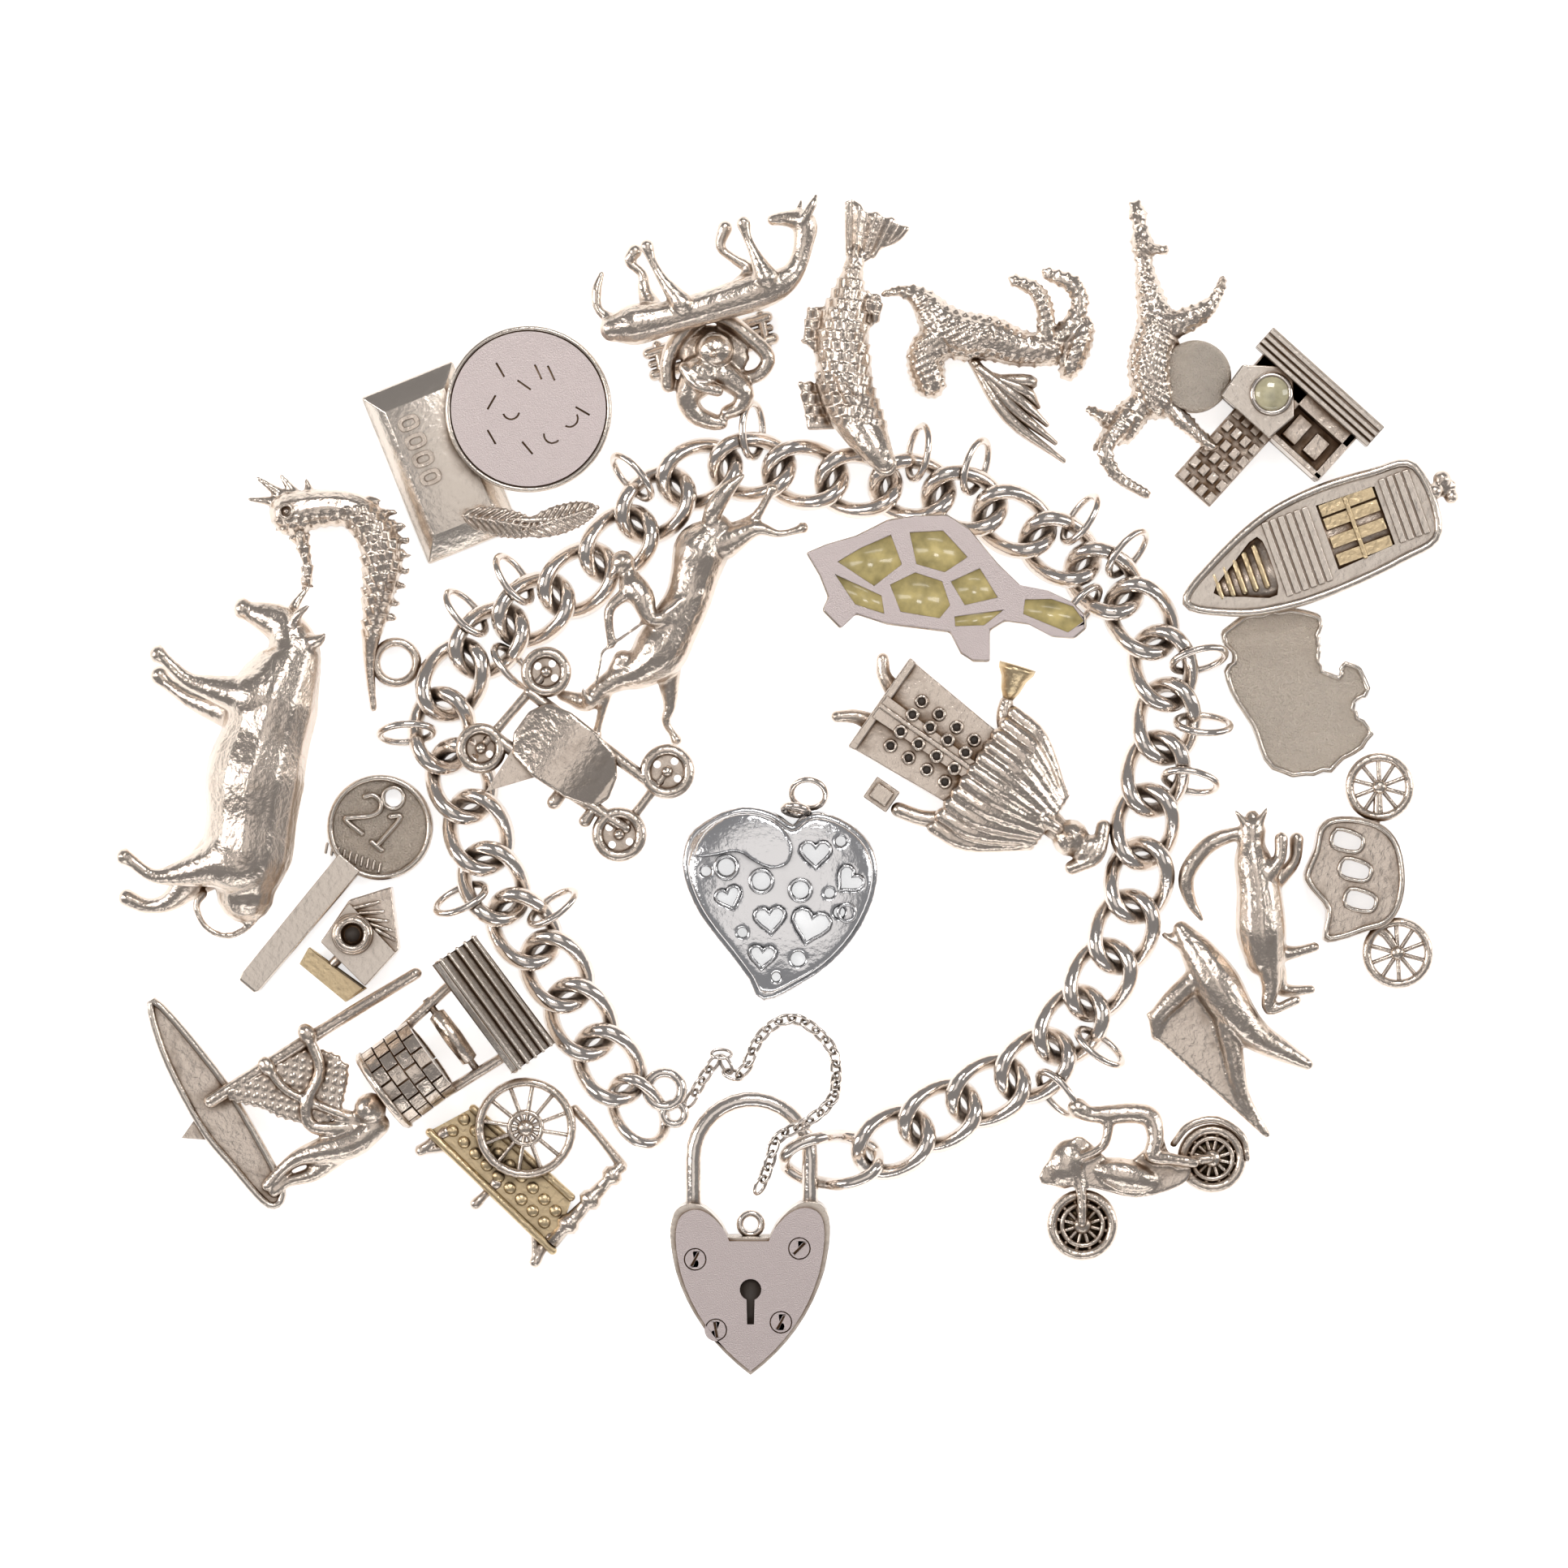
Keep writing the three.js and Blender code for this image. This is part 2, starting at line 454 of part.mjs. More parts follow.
function bird() {
  const body = bar([
    [-10.2, 1.2, 2.4, 0.4], [-8.5, 2.1, 2.5, 0.6], [-6.4, 1.8, 2.6, 1.1], [-4.6, 0.6, 2.6, 1.8],
    [-2.2, 0.0, 2.6, 2.3], [0.4, 0.7, 2.6, 2.2], [3.4, 0.8, 2.6, 1.8], [6.0, 1.6, 2.6, 1.6],
  ]);
  const breast = bar([[-4.0, -1.0, 2.4, 1.8], [-4.6, -3.0, 2.3, 1.8], [-3.4, -5.0, 2.2, 1.7]]);
  const wing = slab([
    [-1.2, -1.7], [4.8, -6.0], [10.7, -7.7], [10.6, -6.1], [5.7, -3.2], [1.4, -1.6],
  ], 1.4, 2.8);
  const legs = [
    [[6.2, 2.6, 2.6, 1.1], [7.1, 6.7, 2.6, 0.8], [5.8, 8.0, 2.6, 0.8], [3.4, 8.1, 2.6, 0.6]],
    [[5.2, 2.6, 3.8, 0.9], [4.0, 5.4, 4.0, 0.8], [2.6, 6.2, 4.0, 0.7], [0.7, 6.4, 4.0, 0.6]],
  ];
  const stand = ball(8.3, 2.6, 2.2, 1.3, 3.2, 1.5);
  return join([body, breast, wing, ...legs.map(bar), stand]);
}

function drummer() {
  const limbs = [
    [[-12.9, 1.4, 2.6, 0.8], [-9.9, 1.2, 2.6, 1.0], [-7.3, 0.7, 2.6, 1.0], [-4.4, 0.6, 2.6, 1.3],
      [-1.6, 0.4, 2.6, 2.0], [1.8, -1.1, 2.6, 2.3], [4.6, -1.3, 2.6, 2.1]],
    [[-1.4, 0.2, 3.0, 1.2], [-2.1, 5.1, 3.4, 1.0], [-4.1, 7.2, 3.4, 0.5]],
    [[-9.8, 0.8, 3.0, 0.6], [-8.4, 2.9, 3.0, 0.6]],
    [[3.8, -1.2, 2.6, 0.9], [10.2, 2.3, 3.8, 0.6]],
    [[3.6, -1.2, 2.6, 1.6], [6.3, -5.4, 2.6, 1.9]],
    [[5.6, -4.4, 3.4, 1.0], [8.0, -7.3, 4.2, 0.8], [11.0, -6.5, 3.9, 0.7], [12.9, -4.7, 3.9, 0.6]],
  ];
  return join([...limbs.map(bar), drum(3.6, 2.6, 1.0, 4.0, 3.2, 12)]);
}

function chapel() {
  const nave = block(-4.6, 7.0, -4.8, 2.0, 0, 4.2);
  const eaves = block(-5.6, 8.2, 0.4, 2.9, 4.2, 5.4);
  const tower = block(-3.2, 1.2, -13.2, -4.4, 0.8, 2.6);
  const doorway = block(1.2, 6.2, -6.0, -0.6, 1.4, 5.0);
  return cut(join([nave, eaves, tower]), [doorway]);
}

function gem() {
  return drum(-1.6, -1.8, 4.5, 5.4, 1.6, 12);
}

function boat() {
  const rail = [
    [-14.0, -0.9], [-10.0, -3.4], [-5.7, -4.5], [-0.2, -4.8], [6.8, -4.0], [11.1, -2.7],
    [10.9, 3.7], [6.7, 4.6], [1.2, 5.0], [-4.2, 4.3], [-10.1, 1.7],
  ];
  const keel = rail.map(([x, y]) => [x * 0.86, y * 0.72]);
  const hull = join([slab(rail, 2.2, 4.2), slab(keel, 0, 2.2)]);
  const well = block(1.0, 6.4, -2.6, 3.2, 2.4, 5.0);
  const bow = slab([[-11.0, -0.8], [-5.6, -3.2], [-5.6, 3.0]], 2.4, 5.0);
  const screw = bar([[10.4, 0.6, 2.8, 0.6], [13.6, 0.8, 2.8, 0.6]]);
  return join([cut(hull, [well, bow]), screw]);
}

function mapPlaque() {
  return slab([
    [-8.6, 3.2], [-7.6, 5.6], [-1.1, 8.3], [0.2, 5.1], [1.3, 3.5], [2.9, 3.5], [2.9, 4.6],
    [4.2, 5.0], [6.1, 3.0], [5.0, 1.8], [5.6, 0.7], [7.7, -0.7], [6.0, -3.9], [4.0, -6.0],
    [0.0, -6.9], [-3.2, -3.7], [-6.9, -0.5], [-7.0, 1.8],
  ], 0, 1.3);
}

function coach() {
  const cabin = slab([
    [-4.4, 3.4], [-3.4, 4.6], [1.4, 5.0], [3.2, 3.6], [4.5, 0.7], [4.7, -2.0], [2.3, -4.8],
    [-1.3, -6.6], [-1.7, -3.9], [-3.8, -2.3], [-4.6, -1.2], [-4.3, 1.3],
  ], 0.6, 3.4);
  const windowMiddles = [[-2.0, 2.6], [-0.3, 0.2], [1.0, -2.4]];
  const windows = windowMiddles.map(([x, y]) => block(x - 1, x + 1, y - 0.8, y + 0.8, 0, 4));
  const wheels = [wheel(0.1, 8.4, 2.0, 3.2, 0.45), wheel(5.7, -6.0, 2.0, 3.3, 0.45)];
  const springs = [
    [[0.0, 4.4, 2.0, 0.6], [0.1, 6.0, 2.0, 0.5]],
    [[2.4, -4.0, 2.0, 0.6], [4.2, -4.6, 2.0, 0.5]],
  ];
  return join([cut(cabin, windows), ...wheels, ...springs.map(bar)]);
}

function kangaroo() {
  const limbs = [
    [[-7.6, 0.2, 2.6, 1.3], [-5.1, 0.0, 2.6, 1.9], [-1.8, 0.3, 2.6, 2.2], [1.9, 0.2, 2.6, 2.4],
      [4.4, 0.3, 2.6, 2.0]],
    [[-7.3, -0.8, 2.6, 0.7], [-6.2, -4.3, 2.4, 0.8], [-3.8, -6.2, 2.4, 0.7], [-1.5, -6.1, 2.2, 0.6],
      [0.4, -5.2, 2.2, 0.4]],
    [[-3.0, 1.6, 3.6, 0.8], [-6.3, 2.7, 3.6, 0.7]],
    [[3.8, 0.4, 2.2, 1.3], [7.5, 1.4, 1.8, 0.8], [7.8, 4.2, 1.6, 0.6]],
    [[3.8, 0.4, 3.2, 1.0], [9.3, 0.2, 3.2, 0.6], [8.6, 2.8, 3.2, 0.6]],
    [[4.2, 1.8, 2.4, 0.9], [3.9, 4.8, 2.0, 0.6]],
  ];
  return join(limbs.map(bar));
}

function flyingBird() {
  const body = bar([
    [-7.6, 2.4, 2.2, 1.2], [-2.0, 2.2, 2.6, 2.2], [3.4, 2.2, 2.4, 1.7], [8.8, 4.6, 2.2, 0.9],
  ]);
  const wing = slab([
    [-8.4, 1.0], [-4.8, -0.6], [-3.6, -5.0], [-1.2, -5.4], [12.4, -2.6], [11.6, -1.4],
    [5.0, -1.4], [4.4, 1.8], [-6.0, 2.4],
  ], 1.6, 2.8);
  return join([body, wing]);
}

function motorcyclist() {
  const cowl = slab([
    [-8.5, -4.7], [-8.3, -2.4], [-6.3, 0.3], [-4.4, -0.3], [-1.8, -1.6], [0.0, 0.4],
    [1.3, 2.3], [2.3, 0.8], [4.6, 0.0], [4.2, -1.9], [0.4, -4.0], [-3.8, -4.0],
  ], 0.8, 3.2);
  const wheels = [wheel(-3.9, -7.6, 2.0, 3.3, 0.5), wheel(6.4, 1.1, 2.0, 3.2, 0.5)];
  const rider = [
    [[-6.8, 2.9, 3.0, 1.0], [-3.7, 3.2, 3.0, 0.9], [-0.1, 3.6, 3.0, 1.0], [0.8, 0.2, 3.4, 0.8],
      [4.4, 0.2, 3.2, 0.6]],
    [[-3.9, 2.8, 3.2, 0.6], [-3.8, 0.0, 3.2, 0.5]],
  ];
  const fork = bar([[-5.6, -2.4, 2.0, 0.6], [-4.2, -6.6, 2.0, 0.6]]);
  return join([cowl, ...wheels, ...rider.map(bar), fork]);
}

function turtle() {
  return slab([
    [-12.0, -1.2], [-8.9, -4.6], [-9.1, -5.9], [-7.0, -7.1], [-6.0, -5.4], [2.8, -4.6],
    [4.3, -6.2], [7.1, -6.2],
    [6.3, -3.4], [7.4, -2.2], [12.0, -2.4], [14.6, -1.5], [14.8, 0.1], [12.9, 1.2], [7.8, 1.4],
    [5.2, 2.8], [1.9, 5.1], [-0.4, 5.8], [-3.3, 4.9], [-8.0, 1.6],
  ], 0, 1.8);
}

function townCrier() {
  const coat = slab([[-7.6, -4.8], [4.2, -3.8], [4.2, 4.0], [-7.6, 5.0]], 0.4, 5.2);
  const cape = slab([
    [3.2, -6.2], [6.2, -5.6], [11.4, -3.0], [11.6, 3.2], [6.2, 6.2], [3.2, 6.6],
  ], 0.2, 5.6);
  const limbs = [
    [[10.6, 0.2, 2.8, 1.6], [13.9, -0.2, 2.8, 2.0], [15.8, 0.4, 2.8, 1.4]],
    [[3.6, 4.6, 3.0, 0.8], [1.9, 6.6, 3.0, 0.7], [1.0, 8.6, 3.0, 1.5]],
    [[3.4, -5.2, 3.0, 0.9], [0.1, -7.0, 3.0, 0.8], [-2.6, -6.6, 3.0, 1.1]],
    [[-7.2, -1.8, 2.8, 0.9], [-9.9, -2.8, 2.8, 0.7]],
    [[-7.2, 1.8, 2.8, 0.9], [-9.6, 2.8, 2.8, 0.7]],
  ];
  return join([coat, cape, ...limbs.map(bar)]);
}

function heart() {
  const outline = [
    [0.0, 6.0], [-2.2, 6.9], [-4.8, 6.9], [-7.2, 5.6], [-8.9, 3.7], [-9.0, 1.2], [-8.0, -1.1],
    [-6.2, -3.4], [-3.3, -6.0], [0.1, -9.5], [5.0, -5.6], [7.0, -2.5], [8.0, 0.8], [8.0, 3.6],
    [6.9, 5.8], [4.9, 7.1], [2.7, 7.6],
  ];
  const smaller = outline.map(([x, y]) => [x * 0.86, y * 0.86]);
  const bail = bar([[0.2, 6.0, 2.2, 0.9], [0.0, 8.2, 2.2, 0.8]]);
  return join([slab(outline, 1.2, 3.2), slab(smaller, 3.2, 4.2), slab(smaller, 0, 1.2), bail]);
}

function windsurfer() {
  const board = slab([
    [-4.1, 14.6], [-6.2, 10.2], [-7.4, 2.6], [-7.2, -2.0], [-6.6, -7.2], [-4.7, -6.6],
    [-3.7, -0.4], [-3.3, 6.0],
  ], 0.6, 2.8);
  const fin = slab([[-6.8, 0.6], [-9.2, 2.6], [-6.8, 3.4]], 1.2, 2.2);
  const limbs = [
    [[-5.2, 3.8, 3.2, 0.6], [17.2, 2.2, 4.4, 0.6]],
    [[5.8, 3.6, 4.4, 0.6], [4.8, 0.2, 4.2, 0.6], [1.9, -1.6, 4.0, 0.6], [1.2, -3.7, 3.6, 0.7],
      [4.2, -6.0, 3.4, 0.7]],
    [[6.2, -5.8, 3.4, 1.6], [3.2, -6.6, 3.2, 1.4], [0.0, -5.6, 3.0, 1.1], [-2.1, -5.2, 2.8, 0.8],
      [-5.4, -5.6, 2.4, 0.5]],
    [[1.5, -7.0, 2.6, 1.0], [-1.4, -7.0, 2.4, 0.8], [-5.4, -6.4, 2.2, 0.5]],
  ];
  const sail = slab([[-3.6, 3.6], [5.2, 2.6], [7.0, -0.8], [3.2, -4.2], [0.8, -3.2]], 3.6, 4.4);
  return join([board, fin, sail, ...limbs.map(bar)]);
}

function spinningWheel() {
  const bench = slab([[-7.0, -1.0], [-5.7, 3.4], [6.5, 4.0], [8.8, -0.7]], 1.6, 3.2);
  const limbs = [
    [[7.7, 9.6, 2.6, 0.8], [8.2, -0.3, 2.6, 0.8]],
    [[1.0, 10.0, 2.6, 0.5], [7.8, 9.4, 2.6, 0.5]],
    [[-6.0, 0.0, 2.4, 0.7], [-6.3, -2.8, 2.4, 0.5]],
    [[0.7, 0.0, 2.4, 0.7], [0.7, -2.6, 2.4, 0.5]],
    [[7.9, 0.0, 2.4, 0.7], [8.4, -2.6, 2.4, 0.5]],
  ];
  return join([bench, wheel(-1.0, 5.6, 3.6, 4.7, 0.45), ...limbs.map(bar)]);
}

function wishingWell() {
  const tub = new THREE.CylinderGeometry(4.0, 4.0, 5.6, 12).rotateZ(Math.PI / 2);
  tub.translate(-4.8, -0.4, 4.3);
  const mouth = new THREE.CylinderGeometry(3.0, 3.0, 5.6, 12).rotateZ(Math.PI / 2);
  mouth.translate(-3.0, -0.4, 4.3);
  const gable = slab([[0.4, 3.4], [8.2, 3.4], [8.2, 4.0], [4.3, 7.2], [0.4, 4.0]], -6.2, 6.0);
  const roof = gable.rotateZ(-Math.PI / 2).rotateX(-Math.PI / 2);
  const frame = [
    [[-4.0, -3.9, 4.3, 0.6], [3.9, -4.4, 4.3, 0.6]],
    [[-4.0, 3.1, 4.3, 0.6], [3.9, 4.0, 4.3, 0.6]],
    [[0.6, -4.5, 4.3, 0.5], [0.6, 4.2, 4.3, 0.5]],
  ];
  return join([cut(tub, [mouth]), roof, ...frame.map(bar)]);
}

function key21() {
  const bow = cut(drum(0, 0, 0, 1.7, 4.9, 16), [drum(2.9, 0.8, -1, 3, 0.8, 8)]);
  return join([bow, block(-19.2, -4.4, -1.1, 1.1, 0, 1.7)]);
}

function camera() {
  const body = slab([[2.0, -4.4], [5.6, 0.2], [2.0, 2.1], [-2.6, 1.2], [-2.6, -4.6]], 0.2, 3.6);
  const base = slab([[-4.0, 1.5], [-3.0, -4.6], [-4.9, -4.2], [-5.4, 1.1]], 0.2, 2.0);
  const lens = cut(drum(0, -0.4, 3.6, 4.8, 1.6, 12), [drum(0, -0.4, 4.2, 6, 0.7, 8)]);
  const rail = bar([[-4.2, -1.0, 1.2, 0.6], [-2.2, -1.0, 1.2, 0.6]]);
  return join([body, base, rail, lens]);
}

function goKart() {
  const hubs = [[-7.0, -4.2, 2.3], [-6.1, 5.0, 2.3], [8.0, -3.4, 2.5], [8.3, 3.9, 2.5]];
  const wheels = hubs.map(([x, y, radius]) => wheel(x, y, 1.4, radius, 0.55));
  const limbs = [
    [[-7.0, -4.2, 1.4, 0.5], [-6.1, 5.0, 1.4, 0.5]],
    [[8.0, -3.4, 1.4, 0.5], [8.3, 3.9, 1.4, 0.5]],
    [[-6.6, -2.6, 1.4, 0.5], [8.1, -2.6, 1.4, 0.5]],
    [[-6.3, 2.6, 1.4, 0.5], [8.2, 2.1, 1.4, 0.5]],
  ];
  const shell = slab([[-4.4, -3.0], [-4.4, 2.8], [3.6, 2.4], [4.7, -2.8]], 1.2, 3.6);
  const flap = slab([[-4.2, -6.8], [-4.4, -2.8], [-1.0, -2.8]], 1.4, 2.4);
  return join([...wheels, ...limbs.map(bar), shell, flap]);
}

// name, shape, finish, x, y, turn in degrees, height of its underside over the table
const CHARMS = [
  ['bull', bull, SILVER, -48.7, 1.1, -100, 0],
  ['seahorse', seahorse, SILVER, -41.3, 20.8, -80, 0],
  ['ingot', ingot, SILVER, -32.7, 29.8, 22, 0],
  ['disc', disc, WORN_SILVER, -24.4, 34.6, 0, 2.6],
  ['leaf_pair', leaves, SILVER, -26.8, 24.2, -10, 3.5],
  ['horse_and_jockey', horseAndJockey, SILVER, -10.7, 16.6, 60, 0],
  ['foal', foal, SILVER, -9.1, 45.4, 15, 3.0],
  ['pixie', pixie, SILVER, -7.0, 38.7, -10, 0.9],
  ['gate', gate, SILVER, -8.0, 38.6, 0, 0],
  ['fish', fish, SILVER, 5.0, 41.4, -95, 0],
  ['bird', bird, SILVER, 17.6, 40.7, -20, 0],
  ['drummer', drummer, SILVER, 33.3, 40.7, -75, 0],
  ['chapel', chapel, SILVER, 46.5, 36.2, -42, 0],
  ['chapel_gem', gem, STONE, 46.5, 36.2, -42, 0],
  ['boat', boat, SILVER, 48.8, 22.4, 20, 0],
  ['map_plaque', mapPlaque, SILVER, 46.8, 7.9, -20, 0],
  ['coach', coach, SILVER, 52.1, -8.4, -15, 0],
  ['kangaroo', kangaroo, SILVER, 43.1, -10.9, -85, 0],
  ['flying_bird', flyingBird, SILVER, 38.9, -21.0, -55, 0],
  ['motorcyclist', motorcyclist, SILVER, 32.4, -34.3, -13, 0],
  ['turtle', turtle, WORN_SILVER, 12.9, 19.1, -16, 4.7],
  ['town_crier', townCrier, SILVER, 14.6, 2.6, -35, 0],
  ['heart', heart, BRIGHT_SILVER, -1.1, -9.1, -10, 0],
  ['windsurfer', windsurfer, SILVER, -47.5, -29.5, 36, 0],
  ['spinning_wheel', spinningWheel, SILVER, -28.2, -36.6, -45, -1.2],
  ['wishing_well', wishingWell, SILVER, -31.8, -23.4, 36, 0],
  ['key', key21, SILVER, -38.2, -4.0, 50, 0],
  ['camera', camera, SILVER, -40.9, -13.6, 45, 0],
  ['go_kart', goKart, SILVER, -20.6, 2.7, -35, 3.1],
];
for (const [name, shape, finish, x, y, turn, z] of CHARMS) {
  add(name, shape(), finish, x, y, turn, z);
}

// the origin is the middle of the whole spread, on the table
const spread = new THREE.Box3().setFromObject(bracelet, true);
const middle = spread.getCenter(new THREE.Vector3());
bracelet.position.set(-middle.x, -middle.y, -spread.min.z);

export default bracelet;
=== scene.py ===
# %% [markdown]
# A silver charm bracelet is mostly reflections: bright polished high places and brown tarnish
# in the hollows. We load the fixed frame first, so that every piece knows its place.

# %% Load the frame
import bpy
import math
import numpy as np
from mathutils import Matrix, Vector
from mathutils.geometry import tessellate_polygon


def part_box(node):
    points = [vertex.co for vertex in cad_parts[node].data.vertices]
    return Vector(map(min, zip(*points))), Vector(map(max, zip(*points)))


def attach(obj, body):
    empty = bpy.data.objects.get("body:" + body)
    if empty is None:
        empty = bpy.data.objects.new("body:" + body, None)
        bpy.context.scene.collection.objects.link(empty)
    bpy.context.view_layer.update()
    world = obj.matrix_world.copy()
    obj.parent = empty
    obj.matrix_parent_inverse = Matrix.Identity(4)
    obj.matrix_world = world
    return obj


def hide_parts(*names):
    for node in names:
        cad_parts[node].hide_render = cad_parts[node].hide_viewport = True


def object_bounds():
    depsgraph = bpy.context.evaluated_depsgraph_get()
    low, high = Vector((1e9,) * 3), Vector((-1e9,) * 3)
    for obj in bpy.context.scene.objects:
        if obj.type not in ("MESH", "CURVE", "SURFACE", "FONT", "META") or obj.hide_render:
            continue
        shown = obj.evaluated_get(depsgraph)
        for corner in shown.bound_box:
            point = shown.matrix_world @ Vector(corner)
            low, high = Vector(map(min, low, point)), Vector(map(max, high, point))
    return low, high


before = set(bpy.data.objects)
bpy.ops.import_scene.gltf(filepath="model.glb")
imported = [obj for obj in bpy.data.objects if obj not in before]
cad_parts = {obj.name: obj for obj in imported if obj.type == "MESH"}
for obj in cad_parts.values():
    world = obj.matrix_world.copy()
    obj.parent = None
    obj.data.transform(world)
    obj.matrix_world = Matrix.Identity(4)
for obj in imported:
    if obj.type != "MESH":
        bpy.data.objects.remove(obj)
cad_box = [list(corner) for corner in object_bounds()]
MM = 0.001
rng = np.random.default_rng(21)
print("frame loaded,", len(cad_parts), "nodes")

# %% [markdown]
# Nearly everything here is either a wire (a circle carried along a line) or a cast lump
# (several limbs melted together). A shape is kept as a pair: points in millimetres, and faces.
# We work out the points with whole arrays, which is quick and easy to change.

# %% Wires and limbs
def smooth_line(points, steps):
    """Catmull-Rom line: each span is the cubic that passes its two ends and leans to its neighbours."""
    p = np.asarray(points, float)
    if len(p) < 3 or steps < 2:
        return p
    ends = np.vstack([2 * p[0] - p[1], p, 2 * p[-1] - p[-2]])
    a, b, c, d = ends[:-3, None], ends[1:-2, None], ends[2:-1, None], ends[3:, None]
    t = (np.arange(steps) / steps)[None, :, None]
    line = 0.5 * (2 * b + (c - a) * t + (2 * a - 5 * b + 4 * c - d) * t**2 + (3 * b - a - 3 * c + d) * t**3)
    return np.vstack([line.reshape(-1, p.shape[1]), p[-1:]])


def grid_faces(rows, sides, looped):
    """Quads of a grid that closes round its sides, and end to start when looped."""
    i = np.arange(rows if looped else rows - 1)[:, None] * sides
    j = (i + sides) % (rows * sides)
    k = np.arange(sides)[None, :]
    n = (k + 1) % sides
    quads = np.stack([i + k, i + n, j + n, j + k], -1).reshape(-1, 4)
    faces = quads.tolist()
    if not looped:
        faces.append(list(range(sides))[::-1])
        faces.append([(rows - 1) * sides + s for s in range(sides)])
    return faces


def wire(points, radii, sides=10, looped=False, up=(0, 0, 1)):
    """Each ring is centre + radius * (cos u * across + sin u * over), across being square to the line."""
    p = np.asarray(points, float)
    r = np.broadcast_to(np.asarray(radii, float), len(p))
    if looped:
        along = np.roll(p, -1, 0) - np.roll(p, 1, 0)
    else:
        along = np.gradient(p, axis=0)
        first, last = along[0] / np.linalg.norm(along[0]), along[-1] / np.linalg.norm(along[-1])
        dome = np.array([0.95, 0.7, 0.35])
        head = p[0] - first * r[0] * dome[:, None]
        tail = p[-1] + last * r[-1] * dome[::-1, None]
        p = np.vstack([head, p, tail])
        round_off = np.sqrt(1 - dome**2)
        r = np.concatenate([r[0] * round_off, r, r[-1] * round_off[::-1]])
        along = np.vstack([np.repeat(first[None], 3, 0), along, np.repeat(last[None], 3, 0)])
    along /= np.linalg.norm(along, axis=1)[:, None] + 1e-12
    across = np.cross(np.asarray(up, float), along)
    weak = np.linalg.norm(across, axis=1) < 1e-3
    across[weak] = np.cross((0, 1, 0.01), along[weak])
    across /= np.linalg.norm(across, axis=1)[:, None]
    over = np.cross(along, across)
    u = 2 * np.pi * np.arange(sides) / sides
    ring = np.cos(u)[None, :, None] * across[:, None] + np.sin(u)[None, :, None] * over[:, None]
    verts = (p[:, None] + r[:, None, None] * ring).reshape(-1, 3)
    return verts, grid_faces(len(p), sides, looped)


def limb(rows, sides=10, steps=4):
    """A smooth tapered limb through rows of x, y, z, radius."""
    line = smooth_line(rows, steps)
    return wire(line[:, :3], np.maximum(line[:, 3], 0.05), sides)


def loop(x, y, z, radius, thick, tilt=0.0, sides=8, steps=20, stretch=1.0):
    """A wire ring: x and y go round a circle, tilted about X by tilt degrees."""
    u = 2 * np.pi * np.arange(steps) / steps
    a = math.radians(tilt)
    ring = np.stack([radius * stretch * np.cos(u), radius * np.sin(u) * math.cos(a), radius * np.sin(u) * math.sin(a)], 1)
    return wire(ring + (x, y, z), thick, sides, True, (0, -math.sin(a), math.cos(a)))


def ball(x, y, z, rx, ry=None, rz=None, rows=9, sides=14):
    """An ellipsoid: sin and cos of latitude give ring size and height."""
    ry, rz = ry or rx, rz or rx
    v = np.linspace(0.06, np.pi - 0.06, rows)
    u = 2 * np.pi * np.arange(sides) / sides
    s, c = np.sin(v)[:, None], np.cos(v)[:, None]
    verts = np.stack([x + rx * s * np.cos(u), y + ry * s * np.sin(u), z - rz * c * np.ones(sides)], -1)
    return verts.reshape(-1, 3), grid_faces(rows, sides, False)


def turned(profile, axis_from, axis_to, sides=20):
    """A lathe piece: rings of the profile's radius stand square on the line between two points."""
    a, b = np.asarray(axis_from, float), np.asarray(axis_to, float)
    t = np.asarray([row[0] for row in profile], float)[:, None]
    return wire_plain(a + (b - a) * t, [row[1] for row in profile], sides, b - a)


def wire_plain(p, r, sides, along):
    """Rings of given radius square to one straight direction, with flat ends."""
    along = along / np.linalg.norm(along)
    helper = np.array([0, 0, 1.0]) if abs(along[2]) < 0.9 else np.array([1.0, 0, 0])
    across = np.cross(helper, along)
    across /= np.linalg.norm(across)
    over = np.cross(along, across)
    u = 2 * np.pi * np.arange(sides) / sides
    ring = np.cos(u)[:, None] * across + np.sin(u)[:, None] * over
    verts = (p[:, None] + np.asarray(r, float)[:, None, None] * ring[None]).reshape(-1, 3)
    return verts, grid_faces(len(p), sides, False)


def plate(outline, low, high, holes=()):
    """A flat sheet with holes: top and bottom are cut into triangles, and each edge loop gets a wall."""
    loops = [outline, *holes]
    rings = [[Vector((x, y, 0)) for x, y in ring] for ring in loops]
    flat = np.array([(x, y) for ring in loops for x, y in ring], float)
    n = len(flat)
    verts = np.vstack([np.column_stack([flat, np.full(n, low)]), np.column_stack([flat, np.full(n, high)])])
    faces = []
    for a, b, c in tessellate_polygon(rings):
        area = np.cross(flat[b] - flat[a], flat[c] - flat[a])
        a, b, c = (a, b, c) if area > 0 else (a, c, b)
        faces += [[a + n, b + n, c + n], [a, c, b]]
    start = 0
    for ring in loops:
        m = len(ring)
        i = start + np.arange(m)
        j = start + (np.arange(m) + 1) % m
        faces += np.stack([i, j, j + n, i + n], -1).tolist()
        start += m
    return verts, faces


def rounded(points, steps=4):
    """A smooth closed outline through a few corners, by the same cubic as a wire's."""
    p = np.asarray(points, float)
    line = smooth_line(np.vstack([p[-2:], p, p[:2]]), steps)
    return line[2 * steps:-(steps + 1)].tolist()


def circle(x, y, radius, steps=24):
    """Points round a circle."""
    u = 2 * np.pi * np.arange(steps) / steps
    return np.stack([x + radius * np.cos(u), y + radius * np.sin(u)], 1).tolist()


def brick(x0, x1, y0, y1, low, high):
    """A plain bar with four corners."""
    return plate([(x0, y0), (x1, y0), (x1, y1), (x0, y1)], low, high)


